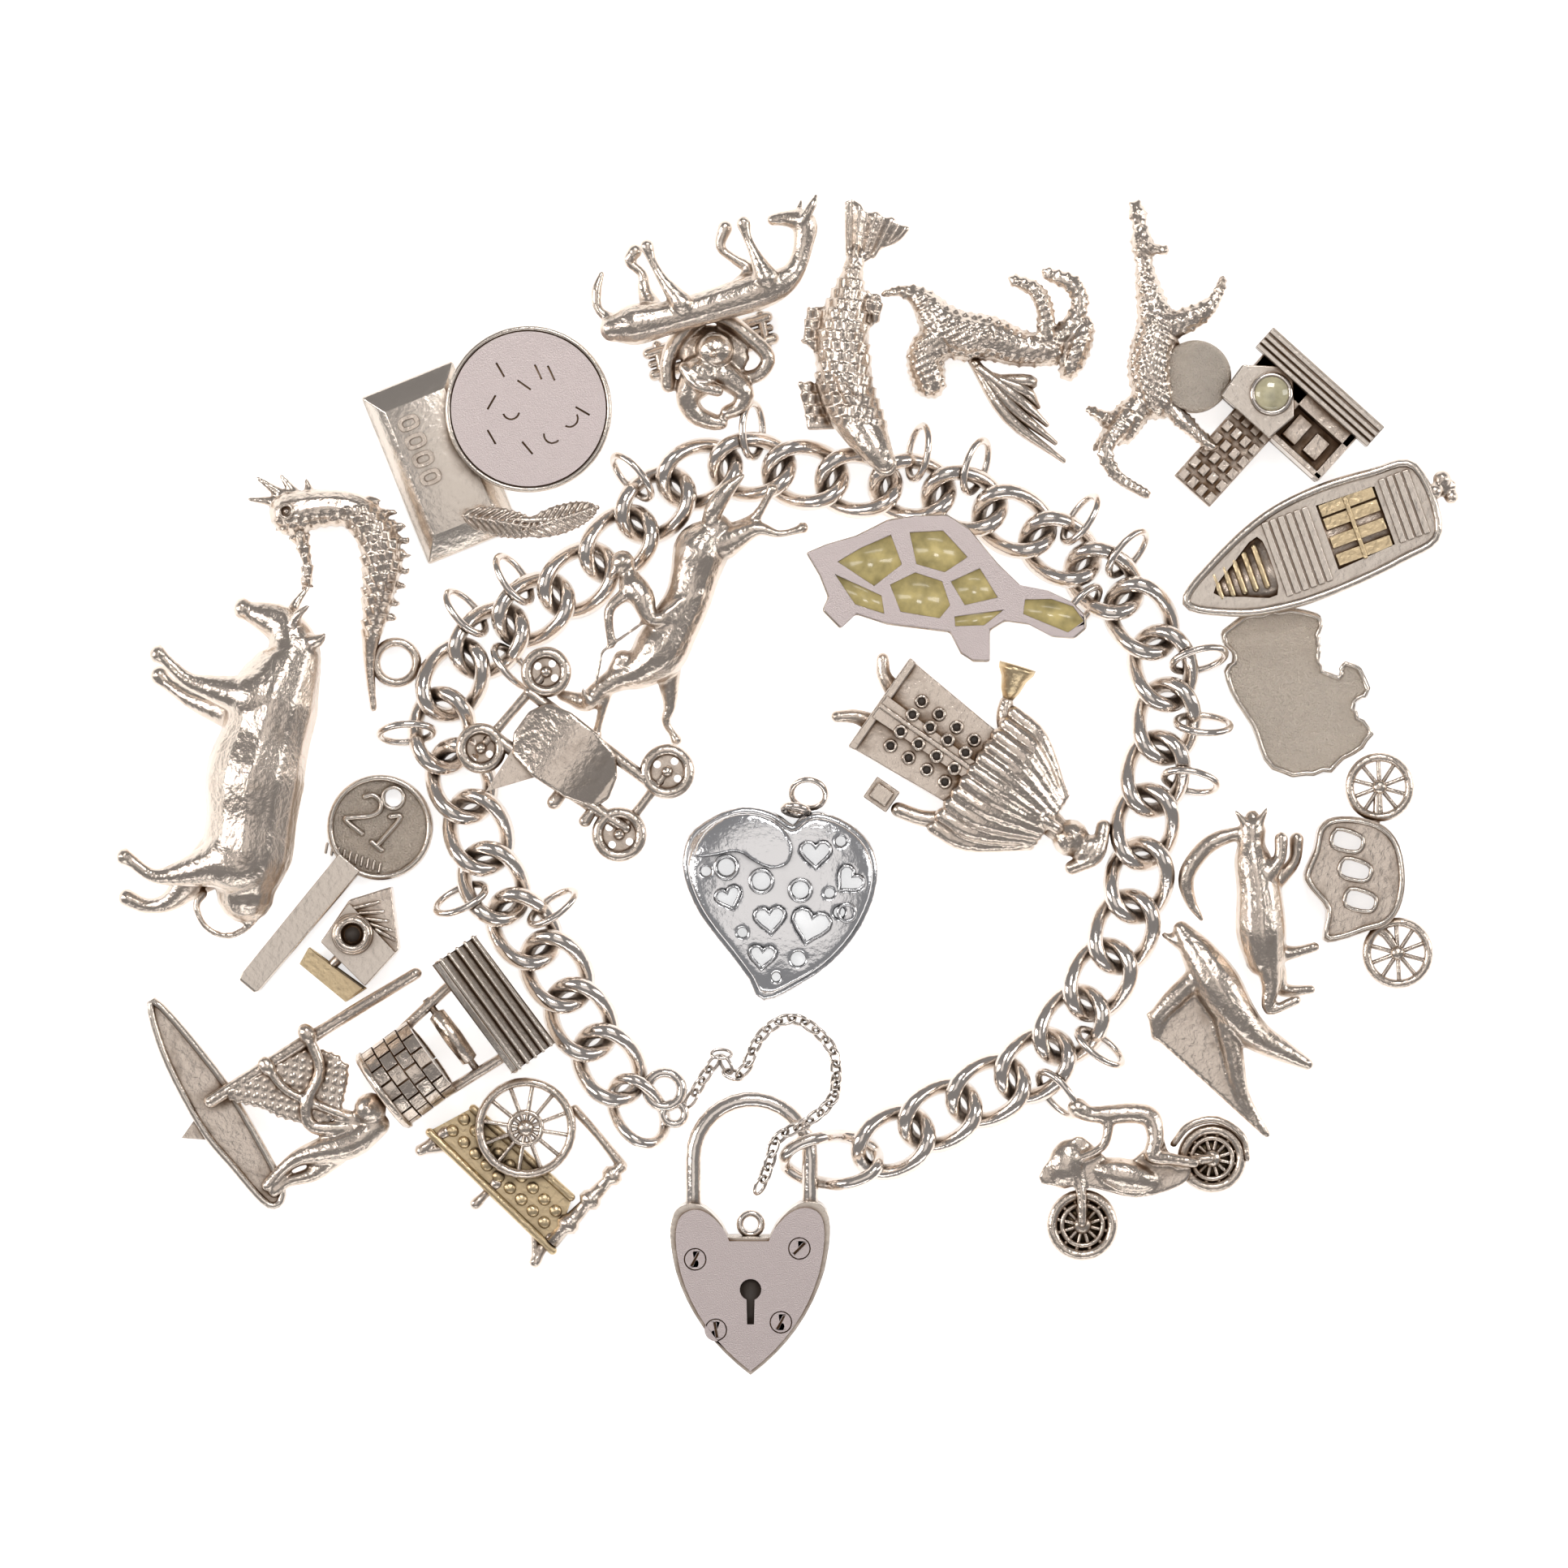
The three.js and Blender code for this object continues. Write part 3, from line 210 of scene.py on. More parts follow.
def heart_line(x, y, size, turn=0.0, steps=20):
    """A heart: x is 16 sin cubed, y is the usual sum of cosines, turned and scaled."""
    u = 2 * np.pi * np.arange(steps) / steps
    hx = 16 * np.sin(u) ** 3 / 17
    hy = (13 * np.cos(u) - 5 * np.cos(2 * u) - 2 * np.cos(3 * u) - np.cos(4 * u)) / 17
    a = math.radians(turn)
    return np.stack([x + size * (hx * math.cos(a) - hy * math.sin(a)), y + size * (hx * math.sin(a) + hy * math.cos(a))], 1).tolist()


def shift(shape, dx, dy, dz=0.0, turn=0.0):
    """Turn a shape about Z, then move it."""
    verts, faces = shape
    a = math.radians(turn)
    spin = np.array([[math.cos(a), math.sin(a), 0], [-math.sin(a), math.cos(a), 0], [0, 0, 1]])
    return verts @ spin + (dx, dy, dz), faces


def together(shapes):
    """One shape from many, keeping them loose."""
    verts = np.vstack([shape[0] for shape in shapes])
    faces = []
    start = 0
    for points, parts in shapes:
        faces += [[start + i for i in face] for face in parts]
        start += len(points)
    return verts, faces


print("shape tools ready")

# %% [markdown]
# A cast charm is one lump of metal, with soft fillets where a leg meets a belly. We melt the
# limbs together with a voxel Remesh at about a fifth of a millimetre, smooth it, and keep the
# result as a plain mesh. Each piece also keeps its own millimetre coordinates as an attribute,
# so that scales and feathers can follow the charm whichever way it lies.

# %% Making pieces
def mesh_of(name, shape):
    verts, faces = shape
    mesh = bpy.data.meshes.new(name)
    mesh.from_pydata(np.asarray(verts).tolist(), [], faces)
    mesh.update()
    return mesh


def melted(shape, voxel=0.2, smooth=4, relief=None):
    """Union by voxels; relief gives a height for each local point, pushed out along the normals."""
    mesh = mesh_of("lump", shape)
    lump = bpy.data.objects.new("lump", mesh)
    bpy.context.collection.objects.link(lump)
    cells = lump.modifiers.new("melt", "REMESH")
    cells.mode = "VOXEL"
    cells.voxel_size = voxel
    calm = lump.modifiers.new("calm", "SMOOTH")
    calm.factor = 0.5
    calm.iterations = smooth
    graph = bpy.context.evaluated_depsgraph_get()
    done = bpy.data.meshes.new_from_object(lump.evaluated_get(graph))
    count = len(done.vertices)
    verts = np.zeros(count * 3)
    done.vertices.foreach_get("co", verts)
    verts = verts.reshape(-1, 3)
    if relief:
        normals = np.zeros(count * 3)
        done.vertices.foreach_get("normal", normals)
        normals = normals.reshape(-1, 3)
        verts = verts + normals * relief(verts, normals)[:, None]
    faces = [list(face.vertices) for face in done.polygons]
    bpy.data.objects.remove(lump)
    return verts, faces


def piece(name, shape, material, nodes=(), body="bracelet", turn=0.0, lay=None, edge=0.0, about=0.0, fit=1.0):
    """Turn the shape, lay it so that its box shares the middle of the node's box, and make it ride."""
    verts, faces = shape
    local = np.asarray(verts, float)
    placed, _ = shift((local, faces), 0, 0, 0, turn)
    if lay is None:
        low, high = (np.array(corner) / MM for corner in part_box(nodes[0]))
        own_low, own_high = placed.min(0), placed.max(0)
        lay = (low + high) / 2 - (own_low + own_high) / 2
    placed = (about + (placed + np.asarray(lay) - about) * fit) * MM
    mesh = mesh_of(name, (placed, faces))
    keep = mesh.attributes.new("local_mm", "FLOAT_VECTOR", "POINT")
    keep.data.foreach_set("vector", local.astype(np.float32).ravel())
    mesh.polygons.foreach_set("use_smooth", np.ones(len(mesh.polygons), bool))
    mesh.materials.append(material)
    made = bpy.data.objects.new(name, mesh)
    bpy.context.collection.objects.link(made)
    if edge:
        round_off = made.modifiers.new("edge", "BEVEL")
        round_off.width = edge * MM
        round_off.segments = 2
        round_off.limit_method = "ANGLE"
        round_off.angle_limit = math.radians(35)
        round_off.harden_normals = True
    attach(made, body)
    if nodes:
        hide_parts(*nodes)
    print(name, len(faces), "faces")
    return lay


# %% [markdown]
# Old silver is bright and warm where fingers rub it, and brown where they can't reach. Ambient
# occlusion finds the places that can't be reached; a ramp turns that into tarnish, and noise
# breaks it up. A fine bump gives the cast skin its soft sparkle.

# %% Silver
def silver(name, bright, dark, rough, reach=1.3, grain=0.02, scale=1.6, cut=(0.35, 0.85), patchy=0.5):
    mat = bpy.data.materials.new(name)
    mat.use_nodes = True
    nodes, links = mat.node_tree.nodes, mat.node_tree.links
    shader = nodes["Principled BSDF"]
    shader.inputs["Metallic"].default_value = 1.0
    where = nodes.new("ShaderNodeAttribute")
    where.attribute_name = "local_mm"
    hidden = nodes.new("ShaderNodeAmbientOcclusion")
    hidden.samples = 6
    hidden.inputs["Distance"].default_value = reach * MM
    cloud = nodes.new("ShaderNodeTexNoise")
    cloud.inputs["Scale"].default_value = 0.45
    cloud.inputs["Detail"].default_value = 5.0
    links.new(where.outputs["Vector"], cloud.inputs["Vector"])
    blot = nodes.new("ShaderNodeMath")
    blot.operation = "MULTIPLY_ADD"
    links.new(cloud.outputs["Fac"], blot.inputs[0])
    blot.inputs[1].default_value = patchy
    blot.inputs[2].default_value = -patchy / 2
    open_sky = nodes.new("ShaderNodeMath")
    open_sky.operation = "ADD"
    links.new(hidden.outputs["AO"], open_sky.inputs[0])
    links.new(blot.outputs[0], open_sky.inputs[1])
    ramp = nodes.new("ShaderNodeValToRGB")
    ramp.color_ramp.elements[0].position = cut[0]
    ramp.color_ramp.elements[0].color = (*dark, 1)
    ramp.color_ramp.elements[1].position = cut[1]
    ramp.color_ramp.elements[1].color = (*bright, 1)
    links.new(open_sky.outputs[0], ramp.inputs[0])
    links.new(ramp.outputs[0], shader.inputs["Base Color"])
    polish = nodes.new("ShaderNodeMapRange")
    polish.inputs["From Min"].default_value = cut[0]
    polish.inputs["From Max"].default_value = cut[1]
    polish.inputs["To Min"].default_value = min(rough + 0.3, 1.0)
    polish.inputs["To Max"].default_value = rough
    links.new(open_sky.outputs[0], polish.inputs["Value"])
    links.new(polish.outputs[0], shader.inputs["Roughness"])
    fine = nodes.new("ShaderNodeTexNoise")
    fine.inputs["Scale"].default_value = scale
    fine.inputs["Detail"].default_value = 6.0
    links.new(where.outputs["Vector"], fine.inputs["Vector"])
    bump = nodes.new("ShaderNodeBump")
    bump.inputs["Distance"].default_value = grain * MM
    links.new(fine.outputs["Fac"], bump.inputs["Height"])
    links.new(bump.outputs[0], shader.inputs["Normal"])
    return mat


TARNISH = (0.16, 0.09, 0.045)
CAST = silver("cast_silver", (0.73, 0.63, 0.54), TARNISH, 0.2, grain=0.1, cut=(0.46, 0.95), patchy=0.8)
POLISHED = silver("polished_wire", (0.80, 0.72, 0.65), (0.12, 0.08, 0.05), 0.13, reach=0.9, grain=0.04, cut=(0.4, 0.88))
SATIN = silver("satin_sheet", (0.66, 0.57, 0.55), (0.2, 0.15, 0.13), 0.45, reach=0.8, grain=0.05, scale=9.0)
SHEET = silver("bright_sheet", (0.72, 0.64, 0.56), TARNISH, 0.24, reach=1.6, grain=0.06, cut=(0.4, 0.9))
BLACKENED = silver("blackened_silver", (0.82, 0.81, 0.81), (0.015, 0.015, 0.02), 0.12, reach=1.6, grain=0.05, cut=(0.5, 0.85))
SANDY = silver("sand_cast_silver", (0.76, 0.67, 0.57), TARNISH, 0.3, grain=0.35, scale=5.5)


def plain(name, colour, rough, coat=0.0):
    """Enamel or stone: cloudy colour from one noise, under a clear gloss."""
    mat = bpy.data.materials.new(name)
    mat.use_nodes = True
    nodes, links = mat.node_tree.nodes, mat.node_tree.links
    shader = nodes["Principled BSDF"]
    shader.inputs["Coat Weight"].default_value = coat
    shader.inputs["Roughness"].default_value = rough
    where = nodes.new("ShaderNodeAttribute")
    where.attribute_name = "local_mm"
    cloud = nodes.new("ShaderNodeTexNoise")
    cloud.inputs["Scale"].default_value = 0.7
    cloud.inputs["Detail"].default_value = 8.0
    links.new(where.outputs["Vector"], cloud.inputs["Vector"])
    ramp = nodes.new("ShaderNodeValToRGB")
    ramp.color_ramp.elements[0].position = 0.3
    ramp.color_ramp.elements[0].color = (*(0.55 * c for c in colour), 1)
    ramp.color_ramp.elements[1].position = 0.68
    ramp.color_ramp.elements[1].color = (*colour, 1)
    links.new(cloud.outputs["Fac"], ramp.inputs[0])
    links.new(ramp.outputs[0], shader.inputs["Base Color"])
    return mat


ENAMEL = plain("ochre_enamel", (0.72, 0.58, 0.24), 0.25, 0.6)
STONE = plain("smoky_stone", (0.62, 0.56, 0.36), 0.08, 0.8)
# Near-black brown for the keyhole, the button holes and the lens hole: painted shade, standing for the dark inside
# these holes.
PAINTED_SHADE = plain("painted_hollow_shade", (0.05, 0.035, 0.025), 0.6)
GILT = silver("tarnished_gold_brown", (0.74, 0.58, 0.36), (0.07, 0.04, 0.02), 0.3, reach=1.1, grain=0.1)
print("materials ready")

# %% [markdown]
# The chain is a curb chain: each oval link is twisted a little so that it lies flat through its
# neighbours. Going round by u, the wire is at a cos u along, b sin u across, and -c sin 2u up.
# The route is the CAD chain's own route, so the links fall where the frame has them.

# %% Chain
ROUTE = [
    (9.3, -33.2), (16.0, -29.4), (22.0, -26.4), (26.5, -21.3), (29.5, -16.0), (31.7, -10.8),
    (32.7, -3.2), (33.6, 1.2), (34.8, 7.2), (34.4, 10.4), (32.4, 15.2), (28.8, 18.8), (24.0, 22.2),
    (18.6, 25.2), (12.0, 27.2), (4.8, 28.0), (-1.2, 29.0), (-6.6, 29.4), (-11.2, 27.2), (-14.2, 24.2),
    (-18.6, 19.8), (-23.6, 16.4), (-28.2, 13.2), (-31.2, 10.0), (-32.6, 6.4), (-31.6, 2.6),
    (-29.6, -2.6), (-28.0, -8.6), (-24.8, -13.6), (-21.6, -17.8), (-19.2, -22.6), (-17.0, -26.0),
]
LINKS = 36
RUNS = 6
HALF_LONG, HALF_WIDE, TWIST, THICK, CHAIN_Z = 3.45, 2.55, 1.05, 0.75, 1.9


def oval(x, y, z, heading, long=HALF_LONG, wide=HALF_WIDE, twist=TWIST, thick=THICK, steps=36, steep=0.01, roll=0.0):
    """Twisted oval: a cos u along, b sin u across, and a rise that swings twice a turn."""
    u = 2 * np.pi * np.arange(steps) / steps
    rise = -twist * np.tanh(steep * np.sin(2 * u)) / math.tanh(steep)
    c, s = math.cos(roll), math.sin(roll)
    across = wide * np.sin(u)
    line = np.stack([long * np.cos(u), across * c - rise * s, across * s + rise * c], 1)
    return shift(wire(line, thick, 12, True), x, y, z, math.degrees(heading))


line = smooth_line(ROUTE, 24)
walked = np.concatenate([[0], np.cumsum(np.linalg.norm(np.diff(line, axis=0), axis=1))])
stops = np.linspace(0, walked[-1], LINKS)
middles = np.stack([np.interp(stops, walked, line[:, k]) for k in (0, 1)], 1)
leaning = np.gradient(middles, axis=0)
headings = np.arctan2(leaning[:, 1], leaning[:, 0])
links = [
    oval(x, y, CHAIN_Z, turn, roll=math.radians(rng.uniform(-2, 2)))
    for (x, y), turn in zip(middles, headings)
]
first_run = together(links[:LINKS // RUNS])
SHIFT = (np.array(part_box("chain_run_1")[0]) + np.array(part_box("chain_run_1")[1])) / 2 / MM
SHIFT -= (first_run[0].min(0) + first_run[0].max(0)) / 2
SHIFT[2] = 0.0
for run in range(RUNS):
    part = together(links[run * LINKS // RUNS:(run + 1) * LINKS // RUNS])
    piece(f"curb_links_{run + 1}", part, POLISHED, (f"chain_run_{run + 1}",), lay=SHIFT)
print("chain shift", SHIFT)

# %% Jump rings
for i in range(1, 19):
    node = f"jump_ring_{i}"
    low, high = (np.array(corner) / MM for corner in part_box(node))
    middle, half = (low + high) / 2, (high - low) / 2
    nearest = int(np.argmin(np.linalg.norm(middles + SHIFT[:2] - middle[:2], axis=1)))
    out = middle[:2] - middles[nearest] - SHIFT[:2]
    turn = math.atan2(out[1], out[0])
    u = 2 * np.pi * np.arange(30) / 30
    lean = math.radians(32 if i % 2 else -28)
    outward = np.array([math.cos(turn), math.sin(turn), 0.0])
    beside = np.array([-math.sin(turn), math.cos(turn), 0.0])
    rise = beside * math.sin(lean) + np.array([0, 0, math.cos(lean)])
    ring = 2.5 * np.cos(u)[:, None] * outward + 1.75 * np.sin(u)[:, None] * rise
    shape = wire(ring, 0.36, 10, True, np.cross(outward, rise))
    piece(f"ring_{i}", shape, POLISHED, (node,), lay=middle)

# %% [markdown]
# The clasp is a heart padlock. Its two plates are satin sheet held by flush screws, its shackle
# is a bent wire on a hinge, and a fine safety chain keeps the bracelet on if it opens.

# %% Clasp wires
oval_ring = oval(0, 0, 0, 0, 4.35, 2.2, 1.75, 0.6, 60, 2.5)
piece("clasp_oval", oval_ring, POLISHED, ("clasp_ring",))
ends = together([
    oval(0, 0, 0, headings[-1], 3.3, 2.1, 1.1, 0.55),
    loop(*(np.array((-11.9, -28.3)) - (middles[-1] + (middles[-1] - middles[-2]))), 0.0, 1.6, 0.5),
    loop(*(np.array((-11.0, -30.5)) - (middles[-1] + (middles[-1] - middles[-2]))), 0.0, 1.0, 0.4),
])
piece("tail_loops", ends, POLISHED, ("end_loops",))

SAFETY = [
    (-9.6, -29.4, 1.2), (-7.9, -26.6, 0.8), (-6.5, -24.9, 0.8), (-6.0, -26.6, 0.8), (-4.7, -26.7, 0.8),
    (-3.4, -24.0, 0.8), (-2.0, -22.4, 0.8), (0.0, -21.7, 0.8), (1.9, -22.6, 0.8), (3.6, -24.5, 0.8),
    (4.0, -26.6, 1.6), (3.6, -29.0, 4.2), (1.4, -31.0, 5.2), (-1.4, -32.6, 4.8), (-2.3, -35.3, 4.4),
    (-3.4, -37.8, 3.8),
]
fine = smooth_line(SAFETY, 12)
gone = np.concatenate([[0], np.cumsum(np.linalg.norm(np.diff(fine, axis=0), axis=1))])
at = np.arange(0.4, gone[-1], 1.25)
spots = np.stack([np.interp(at, gone, fine[:, k]) for k in range(3)], 1)
lean = np.gradient(spots, axis=0)
tiny = []
for i, (spot, way) in enumerate(zip(spots, lean)):
    way = way / np.linalg.norm(way)
    side = np.cross((0, 0, 1), way)
    side /= np.linalg.norm(side)
    top = np.cross(way, side)
    tip = math.radians(38 if i % 2 else -38)
    wide = side * math.cos(tip) + top * math.sin(tip)
    u = 2 * np.pi * np.arange(14) / 14
    ring = spot + np.cos(u)[:, None] * way * 0.95 + np.sin(u)[:, None] * wide * 0.52
    tiny.append(wire(ring, 0.17, 6, True, np.cross(way, wide)))
piece("safety_links", together(tiny), POLISHED, ("safety_chain",))

# %% Padlock
def curve(points, steps=8):
    """Quadratic curves end to end: start, then pairs of control point and end point."""
    out = [points[0]]
    t = (np.arange(1, steps + 1) / steps)[:, None]
    for control, end in zip(points[1::2], points[2::2]):
        a, b, c = (np.asarray(p, float) for p in (out[-1], control, end))
        out += ((1 - t) ** 2 * a + 2 * t * (1 - t) * b + t**2 * c).tolist()
    return out


shield = curve([(0.1, -8.4), (5.2, -4.6), (6.9, 1.2), (8.1, 6.4), (6.6, 7.3), (4.6, 8.4), (2.4, 5.4)])
shield += [(1.9, 4.3), (-2.0, 4.3)]
shield += curve([(-2.5, 5.4), (-4.6, 8.2), (-6.4, 7.1), (-8.0, 6.2), (-6.8, 1.2), (-5.2, -4.4), (0.1, -8.4)])[:-1]
SCREWS = [(-5.0, 2.3), (4.6, 3.3), (-3.1, -4.2), (2.9, -3.5)]
inner = [(x * 0.93, -0.1 + y * 0.94) for x, y in shield]
key_shape = [(0.45, -1.4), (0.45, -3.7), (-0.25, -3.7), (-0.25, -1.4)]
u = np.linspace(math.radians(248), math.radians(-68), 18)
key_shape = list(zip(0.1 + 1.0 * np.cos(u), -0.5 + 1.0 * np.sin(u))) + [(0.42, -3.7), (-0.22, -3.7)]
rings = [circle(x, y, 1.05, 20) for x, y in SCREWS]
face = plate(inner, 4.35, 4.78, [*rings, key_shape])
walls = plate(shield, 0.0, 4.38)
lock_lay = piece("padlock_case", walls, SHEET, ("padlock_body",), edge=0.35)
piece("padlock_face", face, SATIN, ("padlock_body",), lay=lock_lay, edge=0.08)
heads = []
for (x, y), slant in zip(SCREWS, (60, 45, 100, 60)):
    a = math.radians(slant)
    cross = np.array([[math.cos(a), math.sin(a)], [-math.sin(a), math.cos(a)]])
    slit = (np.array([(-0.72, -0.11), (0.72, -0.11), (0.72, 0.11), (-0.72, 0.11)]) @ cross + (x, y)).tolist()
    heads.append(plate(circle(x, y, 0.95, 20), 4.4, 4.74, [slit]))
piece("padlock_screws", together(heads), SATIN, ("padlock_body",), lay=lock_lay, edge=0.05)
# A dark sheet under the keyhole: painted shade inside the lock.
piece("padlock_keyhole_shade", plate([(-0.9, -4), (1.1, -4), (1.1, 0.7), (-0.9, 0.7)], 4.36, 4.41), PAINTED_SHADE, ("padlock_body",), lay=lock_lay)
piece("padlock_eye", loop(0.1, 5.4, 2.4, 1.0, 0.33), POLISHED, ("padlock_body",), lay=lock_lay)
u = np.linspace(np.pi, 0, 16)
arch = [(-5.2, 6.4), (-5.2, 9.0), (-5.2, 11.5)]
arch += list(zip(0.2 + 5.4 * np.cos(u[1:-1]), 11.5 + 5.4 * np.sin(u[1:-1])))
arch += [(5.6, 11.5), (5.6, 9.0), (5.6, 6.8)]
bow = wire([(x, y, 2.4) for x, y in arch], 0.75, 16)
eye = turned([(0, 1.15), (1, 1.15)], (-5.2, 6.2, 1.7), (-5.2, 6.2, 3.1))
piece("padlock_bow", together([bow, eye]), POLISHED, ("padlock_shackle",), body="shackle", lay=lock_lay)

# %% [markdown]
# Cast charms: we list the limbs of each, as a carver would block them out, then melt them. A
# relief is a height worked out for every point at once, for scales, feathers or hair.

# %% Charm helper and reliefs
def charm(name, turn, parts):
    """Lay all parts of one charm together: the box of them all sits in the middle of the node's box."""
    placed = np.vstack([shift(shape, 0, 0, 0, turn)[0] for _, shape, *_ in parts])
    low, high = (np.array(corner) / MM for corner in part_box(name))
    about = (low + high) / 2
    lay = about - (placed.min(0) + placed.max(0)) / 2
    floor_corner, far_corner = np.array(cad_box) / MM
    above = (far_corner - about) / ((placed + lay).max(0) - about)
    below = (about - floor_corner) / (about - (placed + lay).min(0))
    fit = np.minimum(1.0, np.minimum(above, below))
    for suffix, shape, material, *edge in parts:
        width = edge[0] if edge else 0.0
        piece(f"{name}_{suffix}", shape, material, (name,), "bracelet", turn, lay, width, about, fit)


def lumpy(pitch, height):
    """Rounded pebbles: height times the product of three sines, kept where it is above zero."""
    k = 2 * np.pi / pitch
    return lambda v, n: height * np.maximum(0, np.sin(k * v[:, 0]) * np.sin(k * v[:, 1] + 0.6) + 0.4 * np.sin(k * v[:, 2]))


def scaled(pitch, height, x0, x1):
    """Overlapping scales between x0 and x1: rows along x, every second row moved half a scale."""
    def relief(v, n):
        row = np.floor(v[:, 0] / pitch)
        along = v[:, 0] / pitch - row
        across = np.mod(v[:, 1] / pitch + 0.5 * np.mod(row, 2), 1.0) - 0.5
        dome = np.clip(1 - (2 * across) ** 2 * 0.9 - along * 0.8, 0, 1)
        inside = (v[:, 0] > x0) & (v[:, 0] < x1) & (n[:, 2] > -0.3)
        return np.where(inside, height * (dome - 0.3), 0.0)
    return relief


def limbs(table, sides=12):
    return [limb(rows, sides) for rows in table]


def wheel(x, y, z, radius, rim, spokes, hub=0.7, turn=0.0):
    """Rim, hub and straight spokes, flat."""
    made = [loop(x, y, z, radius - rim, rim, steps=32, sides=10), ball(x, y, z, hub, hub, rim * 1.3)]
    for i in range(spokes):
        a = turn + 2 * math.pi * i / spokes
        far = (x + (radius - rim) * math.cos(a), y + (radius - rim) * math.sin(a), z)
        made.append(wire([(x, y, z), far], 0.2, 6))
    return made


# %% Bull
bull = limbs([
    [(-14.2, -4.2, 4.4, 0.8), (-13.9, -2.0, 4.5, 1.5), (-13.3, 0.0, 4.6, 2.0), (-11.4, 1.3, 4.8, 2.7), (-9.2, 1.0, 4.9, 3.6),
     (-6.8, 0.4, 4.9, 4.4), (-3.0, 0.1, 5.0, 4.4), (0.8, -0.3, 5.1, 4.9), (4.6, 0.0, 5.0, 4.5), (8.4, 0.2, 4.9, 4.4), (11.4, 0.6, 4.8, 2.9)],
    [(-4.6, -2.8, 3.6, 1.9), (-4.9, -6.0, 2.8, 1.3), (-5.3, -8.2, 2.4, 0.9), (-6.3, -10.6, 1.7, 0.75), (-6.8, -11.4, 1.5, 1.0)],
    [(-6.4, -3.0, 6.6, 1.9), (-6.6, -6.0, 6.6, 1.2), (-6.9, -8.2, 6.6, 0.8), (-8.3, -10.6, 6.4, 0.65), (-8.7, -11.4, 6.4, 0.95)],
    [(8.7, -2.6, 3.6, 2.6), (11.6, -5.2, 3.0, 1.7), (13.6, -6.8, 2.6, 1.0), (14.4, -8.9, 2.0, 0.75), (14.0, -11.0, 1.8, 0.9)],
    [(9.4, -2.8, 6.6, 2.2), (10.8, -6.0, 6.6, 1.2), (11.4, -8.4, 6.6, 0.7), (10.4, -10.8, 6.4, 0.7), (10.2, -11.4, 6.4, 0.9)],
    [(-12.8, 0.4, 4.0, 0.8), (-15.4, 0.6, 3.4, 0.55), (-17.4, 1.6, 3.0, 0.25)],
    [(-12.6, 0.8, 5.4, 0.8), (-14.4, 1.2, 6.6, 0.55), (-15.6, 2.2, 7.2, 0.25)],
    [(-12.0, 2.4, 6.0, 0.9), (-12.6, 3.6, 6.8, 0.7), (-13.2, 4.2, 7.2, 0.3)],
    [(10.8, 1.6, 5.0, 0.7), (13.7, 1.9, 5.2, 0.4), (15.6, -0.2, 5.4, 0.35), (15.2, -2.6, 5.5, 0.35), (13.4, -3.9, 5.4, 0.4), (12.2, -3.4, 5.2, 0.5)],
])
bull += [ball(8.6, -0.6, 6.9, 3.2, 3.6, 2.4), ball(-6.4, -0.8, 7.2, 2.7, 3.3, 2.0), ball(-14.3, -4.3, 4.5, 1.1, 0.9, 1.2)]
charm("bull", -100, [("cast", melted(together(bull), 0.24, 6), CAST)])

# %% Seahorse
horse_fish = limbs([
    [(-5.0, -4.3, 2.4, 2.1), (-5.0, -1.4, 2.2, 1.8), (-4.2, 1.4, 2.2, 1.75), (-1.8, 3.0, 2.2, 1.9), (0.9, 3.1, 2.2, 1.9),
     (3.4, 2.4, 2.1, 1.6), (6.0, 1.5, 1.9, 1.2), (8.6, 0.6, 1.6, 0.7), (11.4, 0.2, 1.4, 0.45), (14.0, 0.0, 1.2, 0.35)],
    [(-3.6, -4.0, 2.4, 1.1), (-1.6, -3.7, 2.4, 0.6), (0.0, -3.7, 2.4, 0.5), (1.6, -4.0, 2.4, 0.6)],
    [(-6.2, -5.0, 2.4, 0.6), (-7.0, -7.9, 2.4, 0.2)], [(-6.6, -4.6, 2.4, 0.6), (-8.8, -6.8, 2.4, 0.2)],
    [(-6.6, -3.6, 2.4, 0.6), (-8.6, -4.6, 2.4, 0.2)], [(-6.2, -2.2, 2.4, 0.6), (-7.8, -2.4, 2.4, 0.2)],
])
fins = [limb([(x, y, 2.2, 0.5), (x + 0.2, y + 0.9, 2.2, 0.2)], 8) for x, y in zip(np.linspace(-5.0, 6.0, 9), (3.0, 4.2, 4.9, 5.0, 4.9, 4.5, 3.9, 3.1, 2.6))]
body = melted(together(horse_fish + fins), 0.17, 2, scaled(0.95, 0.3, -4.6, 7.5))
charm("seahorse", -80, [("cast", body, CAST), ("eye", together([loop(-5.2, -4.6, 4.45, 0.6, 0.16), ball(-5.2, -4.6, 4.35, 0.3)]), CAST),
    ("curl", loop(10.2, 2.8, 1.3, 1.9, 0.45, steps=28, sides=10), CAST)])

# %% Ingot and disc
def stepped(rows, outline):
    """Rings of one outline, each at its own size and height."""
    o = np.asarray(outline, float)
    verts = np.vstack([np.column_stack([o * (sx, sy), np.full(len(o), z)]) for sx, sy, z in rows])
    return verts, grid_faces(len(rows), len(o), False)


square = [(-1, -1), (1, -1), (1, 1), (-1, 1)]
bar = stepped([(4.4, 8.2, 0), (4.6, 8.4, 0.3), (4.5, 8.3, 0.7), (3.0, 6.2, 2.05), (2.9, 6.1, 2.08)], square)
stamps = []
for y in (4.4, 2.6, 0.8, -1.0):
    stamps.append(shift(plate(rounded([(-0.8, -0.55), (0.8, -0.55), (0.8, 0.55), (-0.8, 0.55)]), 2.0, 2.2,
                              [rounded([(-0.5, -0.28), (0.5, -0.28), (0.5, 0.28), (-0.5, 0.28)])]), -1.3, y))
charm("ingot", 22, [("bar", bar, SHEET, 0.2), ("stamps", together(stamps), CAST, 0.05)])

